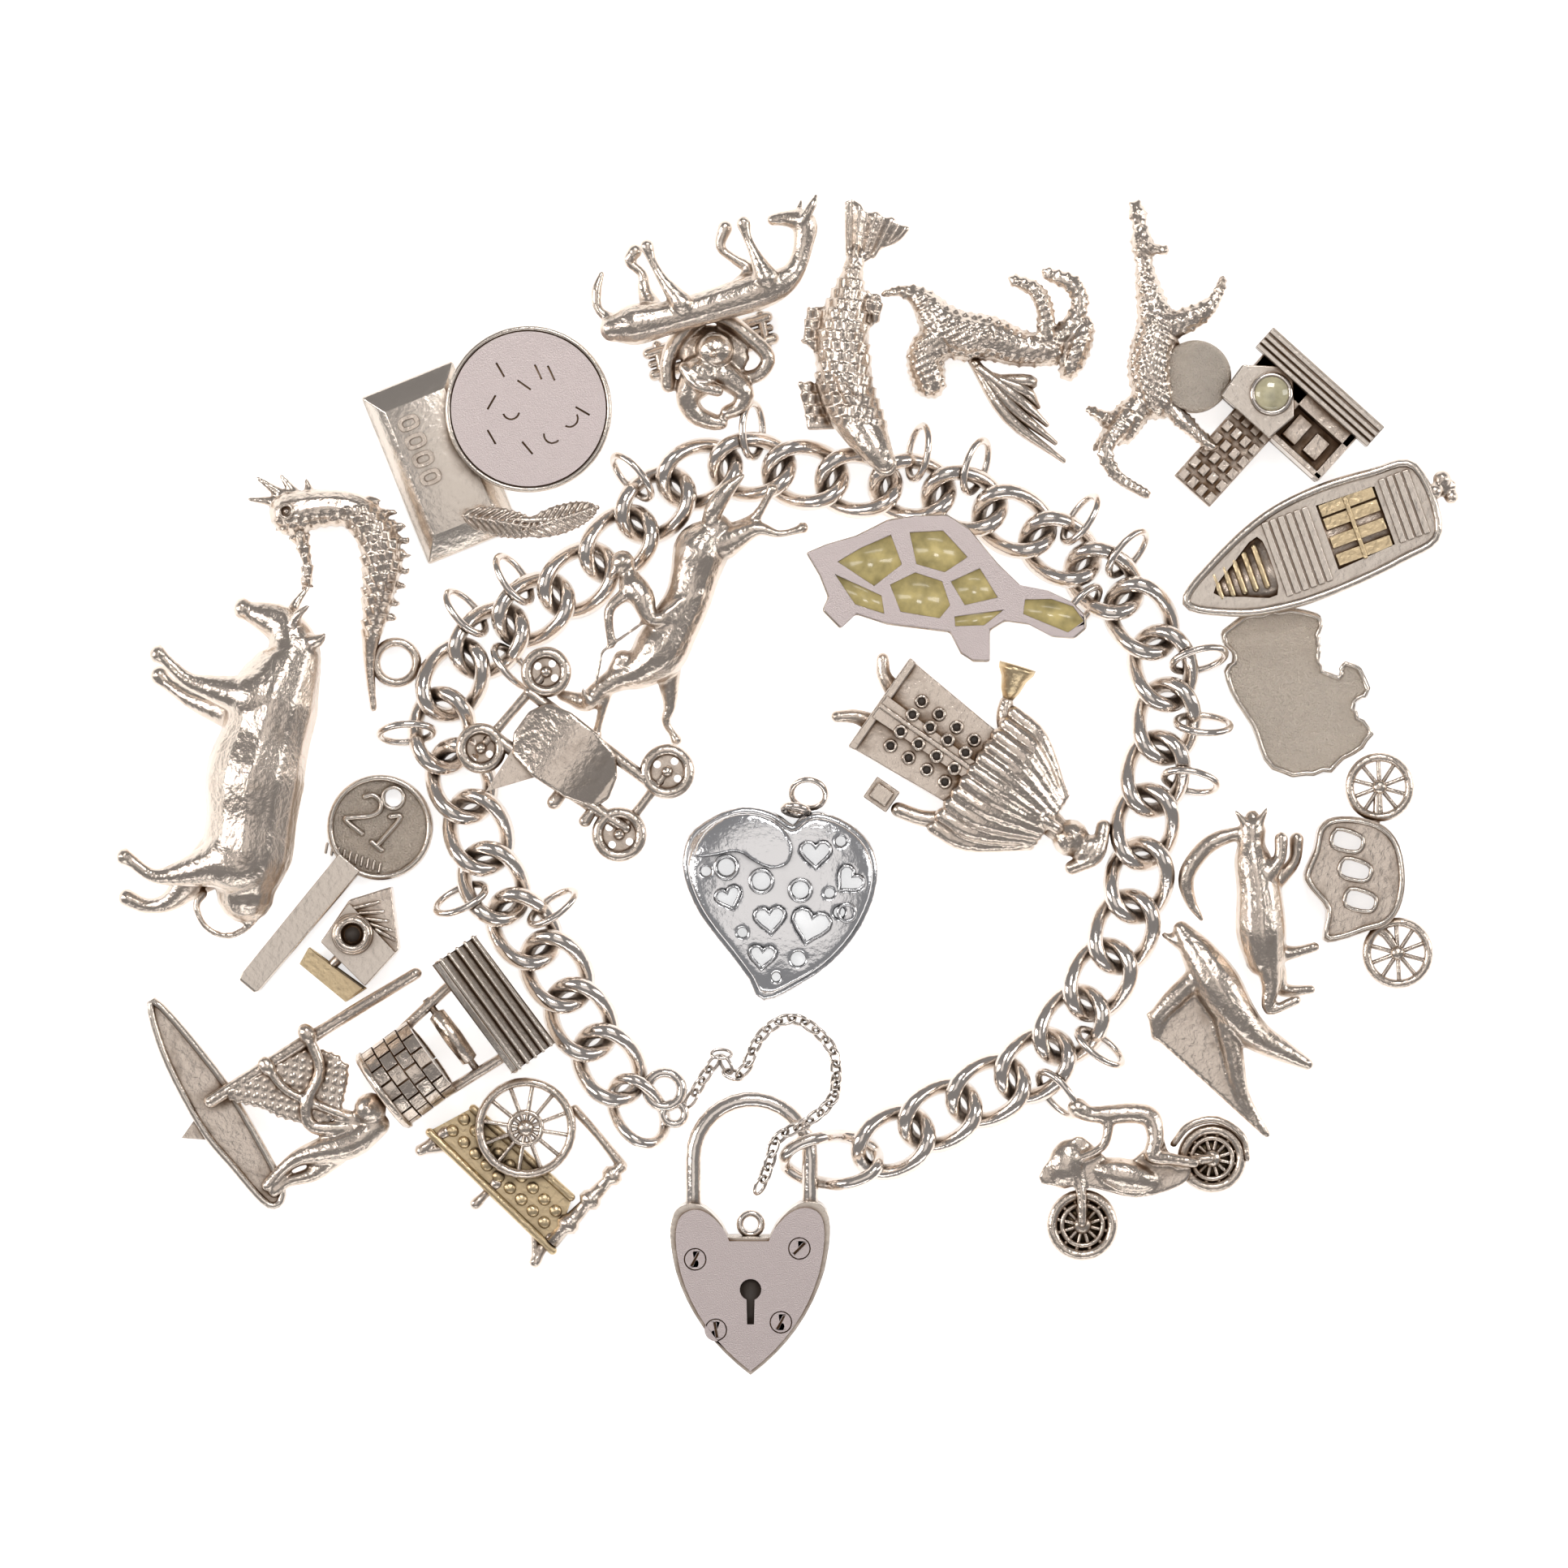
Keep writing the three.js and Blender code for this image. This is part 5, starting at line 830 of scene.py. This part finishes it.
# %% Turtle
back = [(-12.0, -1.2), (-10.2, -2.9), (-8.9, -4.6), (-9.1, -5.9), (-7.0, -7.1), (-6.0, -5.4), (-3.0, -5.5), (2.8, -4.6), (4.3, -6.2), (5.6, -6.6), (7.1, -6.2), (6.3, -3.4), (7.4, -2.2),
    (9.6, -1.9), (12.0, -2.4), (14.0, -2.0), (14.8, -0.8), (14.4, 0.4), (12.9, 1.2), (10.4, 1.6), (7.8, 1.4), (5.2, 2.8), (1.9, 5.1), (-0.4, 5.8), (-3.3, 4.9), (-5.6, 3.8), (-8.0, 1.6), (-10.4, 0.1)]
CELLS = [
    [(-8.9, -1.2), (-7.2, 0.6), (-4.9, 2.5), (-3.2, 0.2), (-5.1, -2.4)], [(-3.3, 3.2), (-0.4, 4.2), (2.4, 2.5), (0.8, 0.6), (-1.9, 0.6)],
    [(-3.7, -1.9), (-1.8, -0.2), (0.8, -0.3), (2.1, -2.2), (1.5, -3.6), (-2.1, -4.0)], [(1.6, -0.1), (3.8, 1.8), (6.1, -0.3), (3.4, -1.8)],
    [(-8.8, -2.4), (-4.2, -3.1), (-3.5, -4.6), (-6.3, -4.5)], [(2.8, -3.1), (6.9, -1.3), (5.6, -3.1), (3.1, -3.9)],
    [(8.6, 0.2), (10.9, 0.9), (13.0, 0.8), (14.3, -0.2), (13.2, -1.6), (8.8, -1.1)],
]
backing = [plate(cell, 0.8, 1.5) for cell in CELLS]
charm("turtle", -16, [("plate", plate(back, 0.0, 1.1), SHEET, 0.25), ("walls", plate([(x * 0.985, y * 0.975) for x, y in back], 1.0, 1.75, CELLS), SATIN, 0.08),
    ("enamel", together(backing), ENAMEL)])

# %% Town crier
coat = [plate([(-7.6, -4.8), (4.2, -3.8), (4.2, 4.0), (-7.6, 5.0)], 0.4, 4.4), plate([(-7.6, -1.4), (4.2, -1.1), (4.2, 0.6), (-7.6, 1.0)], 4.4, 5.1),
    plate([(-7.8, -4.9), (-7.0, -4.8), (-7.0, 5.0), (-7.8, 5.1)], 0.4, 5.0), brick(-7.6, 4.2, -0.35, 0.15, 5.0, 5.3)]
buttons, button_hole_shade = [], []
for row in (-2.6, -1.0, 0.9, 2.4):
    for i in range(4):
        x, y = -4.6 + 2.0 * i, row * (1 - 0.02 * i)
        top = 5.1 if abs(row) < 1.2 else 4.4
        buttons.append(loop(x, y, top + 0.05, 0.5, 0.15, steps=16))
        # Each button gets a dark disc in its middle: painted shade in the button hole.
        button_hole_shade.append(turned([(0, 0.4), (1, 0.4)], (x, y, top - 0.05), (x, y, top + 0.08), 14))
folds = []
for i in range(11):
    t = (i - 5) / 5
    folds.append(limb([(3.0, 6.4 * t, 4.9 - 1.6 * t * t, 0.75), (6.4, 5.9 * t, 5.0 - 1.6 * t * t, 0.8), (11.4, 2.8 * t, 4.0 - 1.0 * t * t, 0.35)], 10))
folds.append(plate([(3.2, -6.2), (6.2, -5.6), (11.4, -3.0), (11.6, 3.2), (6.2, 6.2), (3.2, 6.6)], 0.2, 3.6))
folds.append(loop(11.4, 0.0, 2.9, 1.5, 0.55, 90, steps=24))
figure = limbs([
    [(11.0, 0.2, 2.8, 1.3), (12.2, 0.0, 2.8, 1.2)], [(3.6, 4.6, 3.0, 0.9), (2.4, 5.8, 3.0, 0.8), (1.9, 6.8, 3.0, 0.7)],
    [(3.6, -5.2, 3.0, 0.9), (1.6, -6.4, 3.0, 0.8), (-0.6, -7.0, 3.0, 0.75)],
    [(-7.2, -1.8, 2.8, 0.9), (-8.8, -2.2, 2.8, 0.7), (-10.2, -3.2, 2.8, 0.6)], [(-7.2, 1.8, 2.8, 0.9), (-8.8, 2.4, 2.8, 0.7), (-9.8, 3.6, 2.8, 0.6)],
    [(15.6, -2.2, 2.8, 0.7), (16.8, 0.0, 3.6, 0.7), (15.8, 2.6, 2.8, 0.7)], [(15.6, -2.2, 2.8, 0.7), (17.0, 0.0, 1.8, 0.6), (15.8, 2.6, 2.8, 0.7)],
])
figure += [ball(13.9, 0.0, 2.8, 1.7, 1.8, 1.7), ball(13.7, 0.0, 4.5, 0.35, 0.3, 0.4), ball(14.3, -0.7, 4.2, 0.25, 0.3, 0.3), ball(14.3, 0.7, 4.2, 0.25, 0.3, 0.3), ball(15.8, 0.0, 3.0, 1.0, 1.6, 1.2)]
hand_bell = turned([(0, 0.5), (0.25, 0.9), (0.6, 1.2), (0.85, 1.7), (1, 1.75), (0.98, 1.5), (0.6, 1.0)], (1.8, 7.2, 3.0), (0.8, 10.2, 3.2), 24)
box = [brick(-4.0, -1.4, -7.9, -5.6, 1.8, 3.8), brick(-3.6, -1.8, -7.5, -6.0, 3.7, 4.1)]
# The holes piece is those dark discs: painted shade, not metal.
charm("town_crier", -35, [("coat", together(coat), CAST, 0.15), ("buttons", together(buttons), CAST), ("holes", together(button_hole_shade), PAINTED_SHADE), ("cape", melted(together(folds), 0.17, 1), CAST),
    ("figure", melted(together(figure), 0.17, 2), CAST), ("bell", hand_bell, GILT), ("box", together(box), CAST, 0.12)])

# %% Heart
puffed = rounded([(0.0, 6.0), (-2.2, 6.9), (-4.8, 6.9), (-7.2, 5.6), (-8.9, 3.7), (-9.0, 1.2), (-8.0, -1.1), (-6.2, -3.4), (-3.3, -6.0), (-1.2, -8.0), (0.1, -9.5), (2.6, -7.8),
    (5.0, -5.6), (7.0, -2.5), (8.0, 0.8), (8.0, 3.6), (6.9, 5.8), (4.9, 7.1), (2.7, 7.6), (1.2, 7.2)], 3)
windows = [heart_line(x, y, r, a, 18) for x, y, r, a in ((2.5, 4.3, 1.5, 10), (6.0, 2.4, 1.4, -35), (-4.7, -1.1, 1.25, 30), (-0.6, -2.4, 1.5, 15), (3.2, -2.3, 1.9, -5), (-0.7, -5.9, 1.3, 5))]
windows += [circle(x, y, r, 14) for x, y, r in ((-2.0, 0.9, 0.85), (1.7, 0.7, 0.8), (2.6, -5.6, 0.7), (0.9, -7.6, 0.45), (-5.4, 1.6, 0.8), (5.6, -0.7, 0.55), (4.6, 5.8, 0.5), (-2.9, -4.1, 0.5), (-7.2, 0.9, 0.5), (4.4, 0.9, 0.5))]


def puff(v, lift):
    """Raise the middle like a cushion."""
    far = (v[:, 0] / 9.3) ** 2 + (v[:, 1] / 9.3) ** 2
    return v + np.column_stack([np.zeros((len(v), 2)), lift * np.sqrt(np.clip(1 - far, 0, 1))])


lace, lace_faces = melted(plate(puffed, 2.1, 2.75, windows), 0.2, 1)
lace = puff(lace, 1.45)
under = lace * (1, 1, -1) + (0, 0, 4.2)
comma = rounded([(-8.6, 2.2), (-8.0, 4.4), (-6.2, 6.2), (-3.6, 6.9), (-1.2, 6.3), (0.3, 4.6), (0.1, 2.9), (-1.4, 2.2), (-3.0, 2.6), (-4.6, 3.2), (-6.4, 2.6), (-7.6, 2.2)], 4)
swirl, swirl_faces = melted(plate(comma, 2.6, 3.1), 0.2, 5)
curls = [puff(loop(x, y, 2.75, r, 0.18, steps=18)[0], 1.45) for x, y, r in ((-5.4, 1.6, 1.05), (1.7, 0.7, 1.0), (-2.0, 0.9, 1.05), (6.3, -0.6, 0.8))]
curl_faces = loop(0, 0, 0, 1, 0.18, steps=18)[1]
heart_outlines = [wire(puff(np.array([(x, y, 2.75) for x, y in window]), 1.45), 0.16, 6, True) for window in windows[:6]]
bail = [loop(0.0, 7.9, 2.2, 1.1, 0.4, 70), loop(0.9, 9.6, 2.2, 1.6, 0.3, 35)]
charm("heart", -10, [("lace", (lace, lace_faces), BLACKENED), ("back", (under, [face[::-1] for face in lace_faces]), BLACKENED), ("swirl", (puff(swirl, 1.5), swirl_faces), BLACKENED),
    ("curls", together([(points, curl_faces) for points in curls] + heart_outlines), BLACKENED), ("rim", wire([(x, y, 2.1) for x, y in puffed], 0.55, 10, True), BLACKENED),
    ("bail", together(bail), POLISHED)])

# %% Windsurfer
deck = rounded([(-4.1, 14.6), (-6.2, 10.2), (-7.4, 2.6), (-7.2, -2.0), (-6.6, -7.2), (-4.7, -6.6), (-3.7, -0.4), (-3.3, 6.0)], 5)
surfer = limbs([
    [(5.8, 3.6, 4.4, 0.55), (4.8, 0.2, 4.2, 0.55), (1.9, -1.6, 4.0, 0.6), (1.2, -3.7, 3.6, 0.7), (4.2, -6.0, 3.4, 0.8)],
    [(6.0, -7.0, 3.2, 1.2), (3.2, -7.0, 3.2, 1.45), (0.6, -6.0, 3.0, 1.3), (-1.6, -5.2, 2.9, 0.85), (-3.6, -5.2, 2.7, 0.6), (-5.6, -5.6, 2.6, 0.55)],
    [(1.5, -7.0, 2.6, 1.1), (-1.4, -7.2, 2.5, 0.8), (-3.8, -6.4, 2.4, 0.55), (-5.4, -6.4, 2.4, 0.6)],
    [(1.0, 3.2, 3.9, 0.5), (1.2, 0.4, 4.0, 0.45), (3.0, -2.8, 3.8, 0.5), (4.8, -5.6, 3.4, 0.7)],
])
surfer += [ball(6.4, -5.4, 3.7, 1.55, 1.5, 1.25), ball(6.4, -5.2, 4.9, 0.3, 0.35, 0.35), ball(5.8, 3.6, 4.4, 0.85, 1.1, 0.8), ball(1.0, 3.4, 4.0, 0.8, 1.0, 0.7)]
canvas = melted(plate(rounded([(-3.6, 3.6), (1.0, 3.0), (5.2, 2.4), (7.0, -0.8), (5.2, -3.0), (3.2, -4.2), (0.8, -3.2), (-1.6, 0.4)], 3), 3.2, 3.9), 0.18, 1, lumpy(1.1, 0.2))
charm("windsurfer", 36, [("board", plate(deck, 0.6, 2.3), CAST, 0.2), ("rim", wire([(x * 0.99, y * 0.99, 2.35) for x, y in deck], 0.35, 8, True), SHEET),
    ("fin", plate([(-6.8, 0.6), (-9.2, 2.6), (-6.8, 3.4)], 1.2, 1.9), CAST, 0.15), ("mast", limb([(-5.2, 3.8, 3.2, 0.6), (6.0, 3.1, 3.8, 0.62), (17.2, 2.2, 4.4, 0.55)], 14), CAST),
    ("sail", canvas, CAST), ("figure", melted(together(surfer), 0.18, 2), CAST)])

# %% Spinning wheel and wishing well
bench = plate([(-7.0, -1.0), (-5.7, 3.4), (6.5, 4.0), (8.8, -0.7)], 1.6, 2.8)
edges = [limb([(-7.0, -1.0, 2.8, 0.4), (8.8, -0.7, 2.8, 0.4)], 8), limb([(-5.7, 3.4, 2.8, 0.4), (6.5, 4.0, 2.8, 0.4)], 8)]
blocks = [ball(-5.6 + 1.5 * i, 0.6 + 1.5 * j, 2.85, 0.6, 0.55, 0.28, 7, 12) for i in range(9) for j in range(2)]
feet = limbs([[(-6.0, 0.0, 2.4, 0.7), (-6.3, -1.6, 2.4, 0.4), (-6.4, -2.8, 2.4, 0.6)], [(-4.6, -0.6, 2.4, 0.4), (-6.3, -2.8, 2.4, 0.35)], [(0.7, 0.0, 2.4, 0.7), (0.7, -1.4, 2.4, 0.4), (0.7, -2.7, 2.4, 0.6)],
    [(7.9, 0.0, 2.4, 0.7), (8.1, -1.4, 2.4, 0.4), (8.4, -2.6, 2.4, 0.6)], [(6.4, -0.6, 2.4, 0.4), (8.4, -2.6, 2.4, 0.35)]])
column = turned([(0, 0.3), (0.04, 0.7), (0.1, 0.55), (0.14, 1.0), (0.2, 1.0), (0.24, 0.6), (0.4, 0.75), (0.44, 1.05), (0.5, 1.05), (0.54, 0.6), (0.7, 0.75), (0.74, 1.05), (0.8, 1.05), (0.84, 0.6), (1, 0.7)],
    (7.7, 9.8, 2.6), (8.2, -0.3, 2.6), 16)
spokes = wheel(-1.0, 5.6, 3.6, 4.7, 0.42, 12, 0.8, 0.1) + [loop(-1.0, 5.6, 3.6, 1.5, 0.25, steps=24)]
charm("spinning_wheel", -45, [("bench", bench, GILT, 0.12), ("blocks", together(blocks + edges), GILT), ("feet", melted(together(feet), 0.17, 1), CAST), ("column", column, CAST),
    ("wheel", together(spokes), CAST), ("strut", limb([(1.0, 10.0, 2.6, 0.45), (4.4, 9.8, 2.6, 0.4), (7.8, 9.4, 2.6, 0.5)]), CAST)])

bricks = []
for row in range(4):
    x = -2.6 - 1.35 * row
    a0 = 0.5 * (row % 2)
    for k in range(15):
        lo, hi = 2 * np.pi * (k + a0 + 0.06) / 15, 2 * np.pi * (k + a0 + 0.94) / 15
        u = np.linspace(lo, hi, 4)
        section = np.concatenate([np.stack([4.0 * np.cos(u), 4.0 * np.sin(u)], 1), np.stack([3.2 * np.cos(u[::-1]), 3.2 * np.sin(u[::-1])], 1)])
        verts, faces = plate(section.tolist(), x - 0.6, x + 0.6)
        bricks.append((np.column_stack([verts[:, 2], verts[:, 0] - 0.4, verts[:, 1] + 4.3]), faces))
core = turned([(0, 3.75), (1, 3.75)], (-7.6, -0.4, 4.3), (-2.2, -0.4, 4.3), 32)
foot = turned([(0, 3.9), (0.4, 4.2), (1, 4.2)], (-7.9, -0.4, 4.3), (-7.2, -0.4, 4.3), 36)

slope = []
for sign in (1, -1):
    ring = [(7.8, 4.3 + 0.25 * sign), (3.8, 4.3 + 3.9 * sign), (3.2, 4.3 + 3.4 * sign), (6.9, 4.3)]
    verts, faces = plate(ring if sign < 0 else ring[::-1], -6.0, 6.2)
    slope.append((np.column_stack([verts[:, 0], verts[:, 2], verts[:, 1]]), [face[::-1] for face in faces]))
shingles = [limb([(4.1 + 0.85 * i, -6.0, 8.2 - 0.78 * i, 0.2), (4.1 + 0.85 * i, 6.2, 8.2 - 0.78 * i, 0.2)], 8) for i in range(5)]
frame_bars = limbs([[(-3.0, -3.9, 4.3, 0.5), (3.9, -4.4, 4.3, 0.5)], [(-3.0, 3.1, 4.3, 0.5), (3.9, 4.0, 4.3, 0.5)], [(3.6, -5.8, 7.4, 0.4), (3.6, 6.0, 7.4, 0.4)],
    [(3.6, -5.8, 1.2, 0.4), (3.6, 6.0, 1.2, 0.4)], [(3.6, -5.8, 7.4, 0.4), (3.6, -5.8, 1.2, 0.4)], [(3.6, 6.0, 7.4, 0.4), (3.6, 6.0, 1.2, 0.4)]])
roll = turned([(0, 0.35), (0.18, 0.35), (0.2, 0.8), (0.5, 0.9), (0.8, 0.8), (0.82, 0.35), (1, 0.35)], (0.6, -4.5, 4.3), (0.6, 4.2, 4.3), 18)
charm("wishing_well", 36, [("bricks", together(bricks), CAST, 0.12), ("core", together([core, foot]), CAST), ("roof", together(slope), SHEET, 0.15), ("shingles", together(shingles), SHEET), ("frame", together(frame_bars), CAST), ("windlass", roll, CAST)])

# %% Key and camera
bow_plate = plate(circle(0, 0, 4.9, 48), 0.0, 1.2, [circle(2.9, 0.8, 0.85, 18)])
rim = [loop(0, 0, 1.25, 4.6, 0.3, steps=48), loop(2.9, 0.8, 1.25, 1.0, 0.18, steps=20)]
digits = []
for stroke in ([(1.3, 2.9), (1.9, 2.4), (1.9, 1.5), (1.2, 1.0), (0.2, 1.4), (-1.0, 2.6), (-1.5, 2.9), (-1.5, 0.9)], [(1.4, -0.1), (1.9, -0.9), (-1.5, -0.9)], [(-1.5, -0.3), (-1.5, -1.5)]):
    digits.append(limb([(x, y, 1.25, 0.26) for x, y in stroke], 8, 6))
hatch = [limb([(-3.2 - 0.2 * i, -2.6 + 0.55 * i, 1.2, 0.14), (-2.5 - 0.2 * i, -2.2 + 0.55 * i, 1.2, 0.14)], 6) for i in range(10)]
charm("key", 50, [("bow", bow_plate, SANDY, 0.1), ("rim", together(rim), SHEET), ("number", together(digits), SHEET), ("hatch", together(hatch), SHEET),
    ("stem", plate([(-19.2, -1.0), (-18.6, -1.2), (-4.2, -1.3), (-4.2, 1.3), (-18.6, 1.1), (-19.2, 0.9)], 0.0, 1.6), SHEET, 0.25)])

body = [(2.0, -4.4), (5.6, 0.2), (2.0, 2.1), (-2.6, 1.2), (-2.6, -4.6)]
ribs = [limb([(1.8, -1.6 + 0.7 * i, 3.7, 0.22), (2.4 + 0.35 * i, -3.6 + 0.9 * i, 3.5, 0.2)], 8) for i in range(5)]
charm("camera", 45, [("body", plate(body, 0.2, 3.6), CAST, 0.2), ("ribs", together(ribs), CAST), ("board", together([plate([(-2.6, -4.6), (1.6, -4.4), (1.8, 1.9), (-2.6, 1.2)], 3.4, 3.9)]), SHEET, 0.1),
    ("lens", together([loop(0, -0.4, 4.5, 1.35, 0.35, steps=28), loop(0, -0.4, 4.1, 1.6, 0.3, steps=28), turned([(0, 1.3), (1, 1.3)], (0, -0.4, 3.8), (0, -0.4, 4.3), 24)]), CAST),
    # The hole is a dark disc in the lens: painted shade inside the lens opening.
    ("hole", turned([(0, 0.7), (1, 0.7)], (0, -0.4, 4.2), (0, -0.4, 4.4), 20), PAINTED_SHADE), ("bed", plate([(-4.0, 1.5), (-3.0, -4.6), (-4.9, -4.2), (-5.4, 1.1)], 0.2, 1.8), GILT, 0.15),
    ("strut", limb([(-4.2, -1.0, 1.2, 0.5), (-2.2, -1.0, 1.6, 0.5)]), CAST)])

# %% Go-kart
hubs = [(-7.0, -4.2, 2.3), (-6.1, 5.0, 2.3), (8.0, -3.4, 2.5), (8.3, 3.9, 2.5)]
tyres, discs = [], []
for x, y, r in hubs:
    tyres.append(loop(x, y, 1.6, r - 0.5, 0.55, steps=32, sides=12))
    holes = [circle(x + (r - 1.35) * math.cos(a), y + (r - 1.35) * math.sin(a), 0.36, 10) for a in np.linspace(0, 2 * np.pi, 5)[:-1]]
    discs += [plate(circle(x, y, r - 0.6, 28), 1.2, 1.7, holes), ball(x, y, 1.9, 0.5, 0.5, 0.4)]
kart_rods = limbs([[(-7.0, -4.2, 1.4, 0.45), (-6.1, 5.0, 1.4, 0.45)], [(8.0, -3.4, 1.4, 0.45), (8.3, 3.9, 1.4, 0.45)], [(-6.6, -2.6, 1.5, 0.6), (0.0, -2.8, 1.6, 0.65), (8.1, -2.6, 1.5, 0.6)],
    [(-6.3, 2.6, 1.5, 0.55), (1.0, 2.4, 1.6, 0.6), (8.2, 2.1, 1.5, 0.55)], [(1.4, -3.2, 1.6, 0.6), (1.4, -4.4, 1.6, 0.7)], [(4.7, -3.2, 1.6, 0.5), (4.7, -4.2, 1.6, 0.6)]])
shell, shell_faces = melted(plate(rounded([(-4.4, -3.0), (-4.4, 2.8), (3.6, 2.4), (4.7, -2.8)], 3), 1.4, 2.1), 0.18, 4)
shell[:, 2] += 1.3 * np.clip(1 - ((shell[:, 0] + 0.2) / 4.6) ** 2, 0, 1)
charm("go_kart", -35, [("tyres", together(tyres), CAST), ("discs", together(discs), CAST, 0.05), ("rods", together(kart_rods), CAST), ("shell", (shell, shell_faces), CAST),
    ("flap", plate([(-4.2, -6.8), (-4.4, -2.8), (-1.0, -2.8)], 1.4, 2.2), CAST, 0.15)])

# %% [markdown]
# The bracelet lies on a white table and is seen from straight above through a long lens, so that
# nothing leans outward. Big soft lamps all round, with gaps between them, give the metal
# something bright and something dark to mirror.

# %% Floor, lamps and camera
def flat_lamp(name, place, size, watts, colour=(1, 1, 1)):
    data = bpy.data.lights.new(name, "AREA")
    data.shape = "RECTANGLE"
    data.size, data.size_y = size
    data.energy = watts
    data.color = colour
    lamp = bpy.data.objects.new(name, data)
    bpy.context.collection.objects.link(lamp)
    lamp.location = place
    lamp.rotation_euler = (-Vector(place)).to_track_quat("-Z", "Y").to_euler()
    return lamp


flat_lamp("overhead", (0.0, 0.0, 0.58), (0.36, 0.36), 0.26, (1.0, 0.96, 0.93))
flat_lamp("high_back", (0.05, 0.32, 0.50), (0.20, 0.16), 0.9)
flat_lamp("left_box", (-0.45, 0.05, 0.30), (0.18, 0.4), 1.1, (1.0, 0.98, 0.97))
flat_lamp("right_box", (0.45, 0.1, 0.22), (0.14, 0.4), 0.6)
flat_lamp("front_strip", (0.0, -0.5, 0.25), (0.6, 0.08), 0.5)

world = bpy.data.worlds.new("studio")
world.use_nodes = True
world.node_tree.nodes["Background"].inputs[0].default_value = (0.97, 0.97, 1.0, 1)
world.node_tree.nodes["Background"].inputs[1].default_value = 0.27
bpy.context.scene.world = world

floor_mesh = mesh_of("table", (np.array([[-1, -1, 0], [1, -1, 0], [1, 1, 0], [-1, 1, 0]], float), [[0, 1, 2, 3]]))
floor = bpy.data.objects.new("table", floor_mesh)
bpy.context.collection.objects.link(floor)
paper = bpy.data.materials.new("white_paper")
paper.use_nodes = True
paper.node_tree.nodes["Principled BSDF"].inputs["Base Color"].default_value = (0.93, 0.93, 0.93, 1)
paper.node_tree.nodes["Principled BSDF"].inputs["Roughness"].default_value = 0.9
paper.node_tree.nodes["Principled BSDF"].inputs["Emission Color"].default_value = (1, 1, 1, 1)
paper.node_tree.nodes["Principled BSDF"].inputs["Emission Strength"].default_value = 0.68
floor_mesh.materials.append(paper)

VIEW_WIDTH = 0.1449
FAR = 0.60
camera_data = bpy.data.cameras.new("above")
camera_data.sensor_width = 36.0
camera_data.lens = 36.0 * (FAR - 0.003) / VIEW_WIDTH
camera = bpy.data.objects.new("above", camera_data)
bpy.context.collection.objects.link(camera)
camera.location = (SHIFT[0] * MM - 0.0008, SHIFT[1] * MM, FAR)
bpy.context.scene.camera = camera
bpy.context.scene.view_settings.view_transform = "Standard"
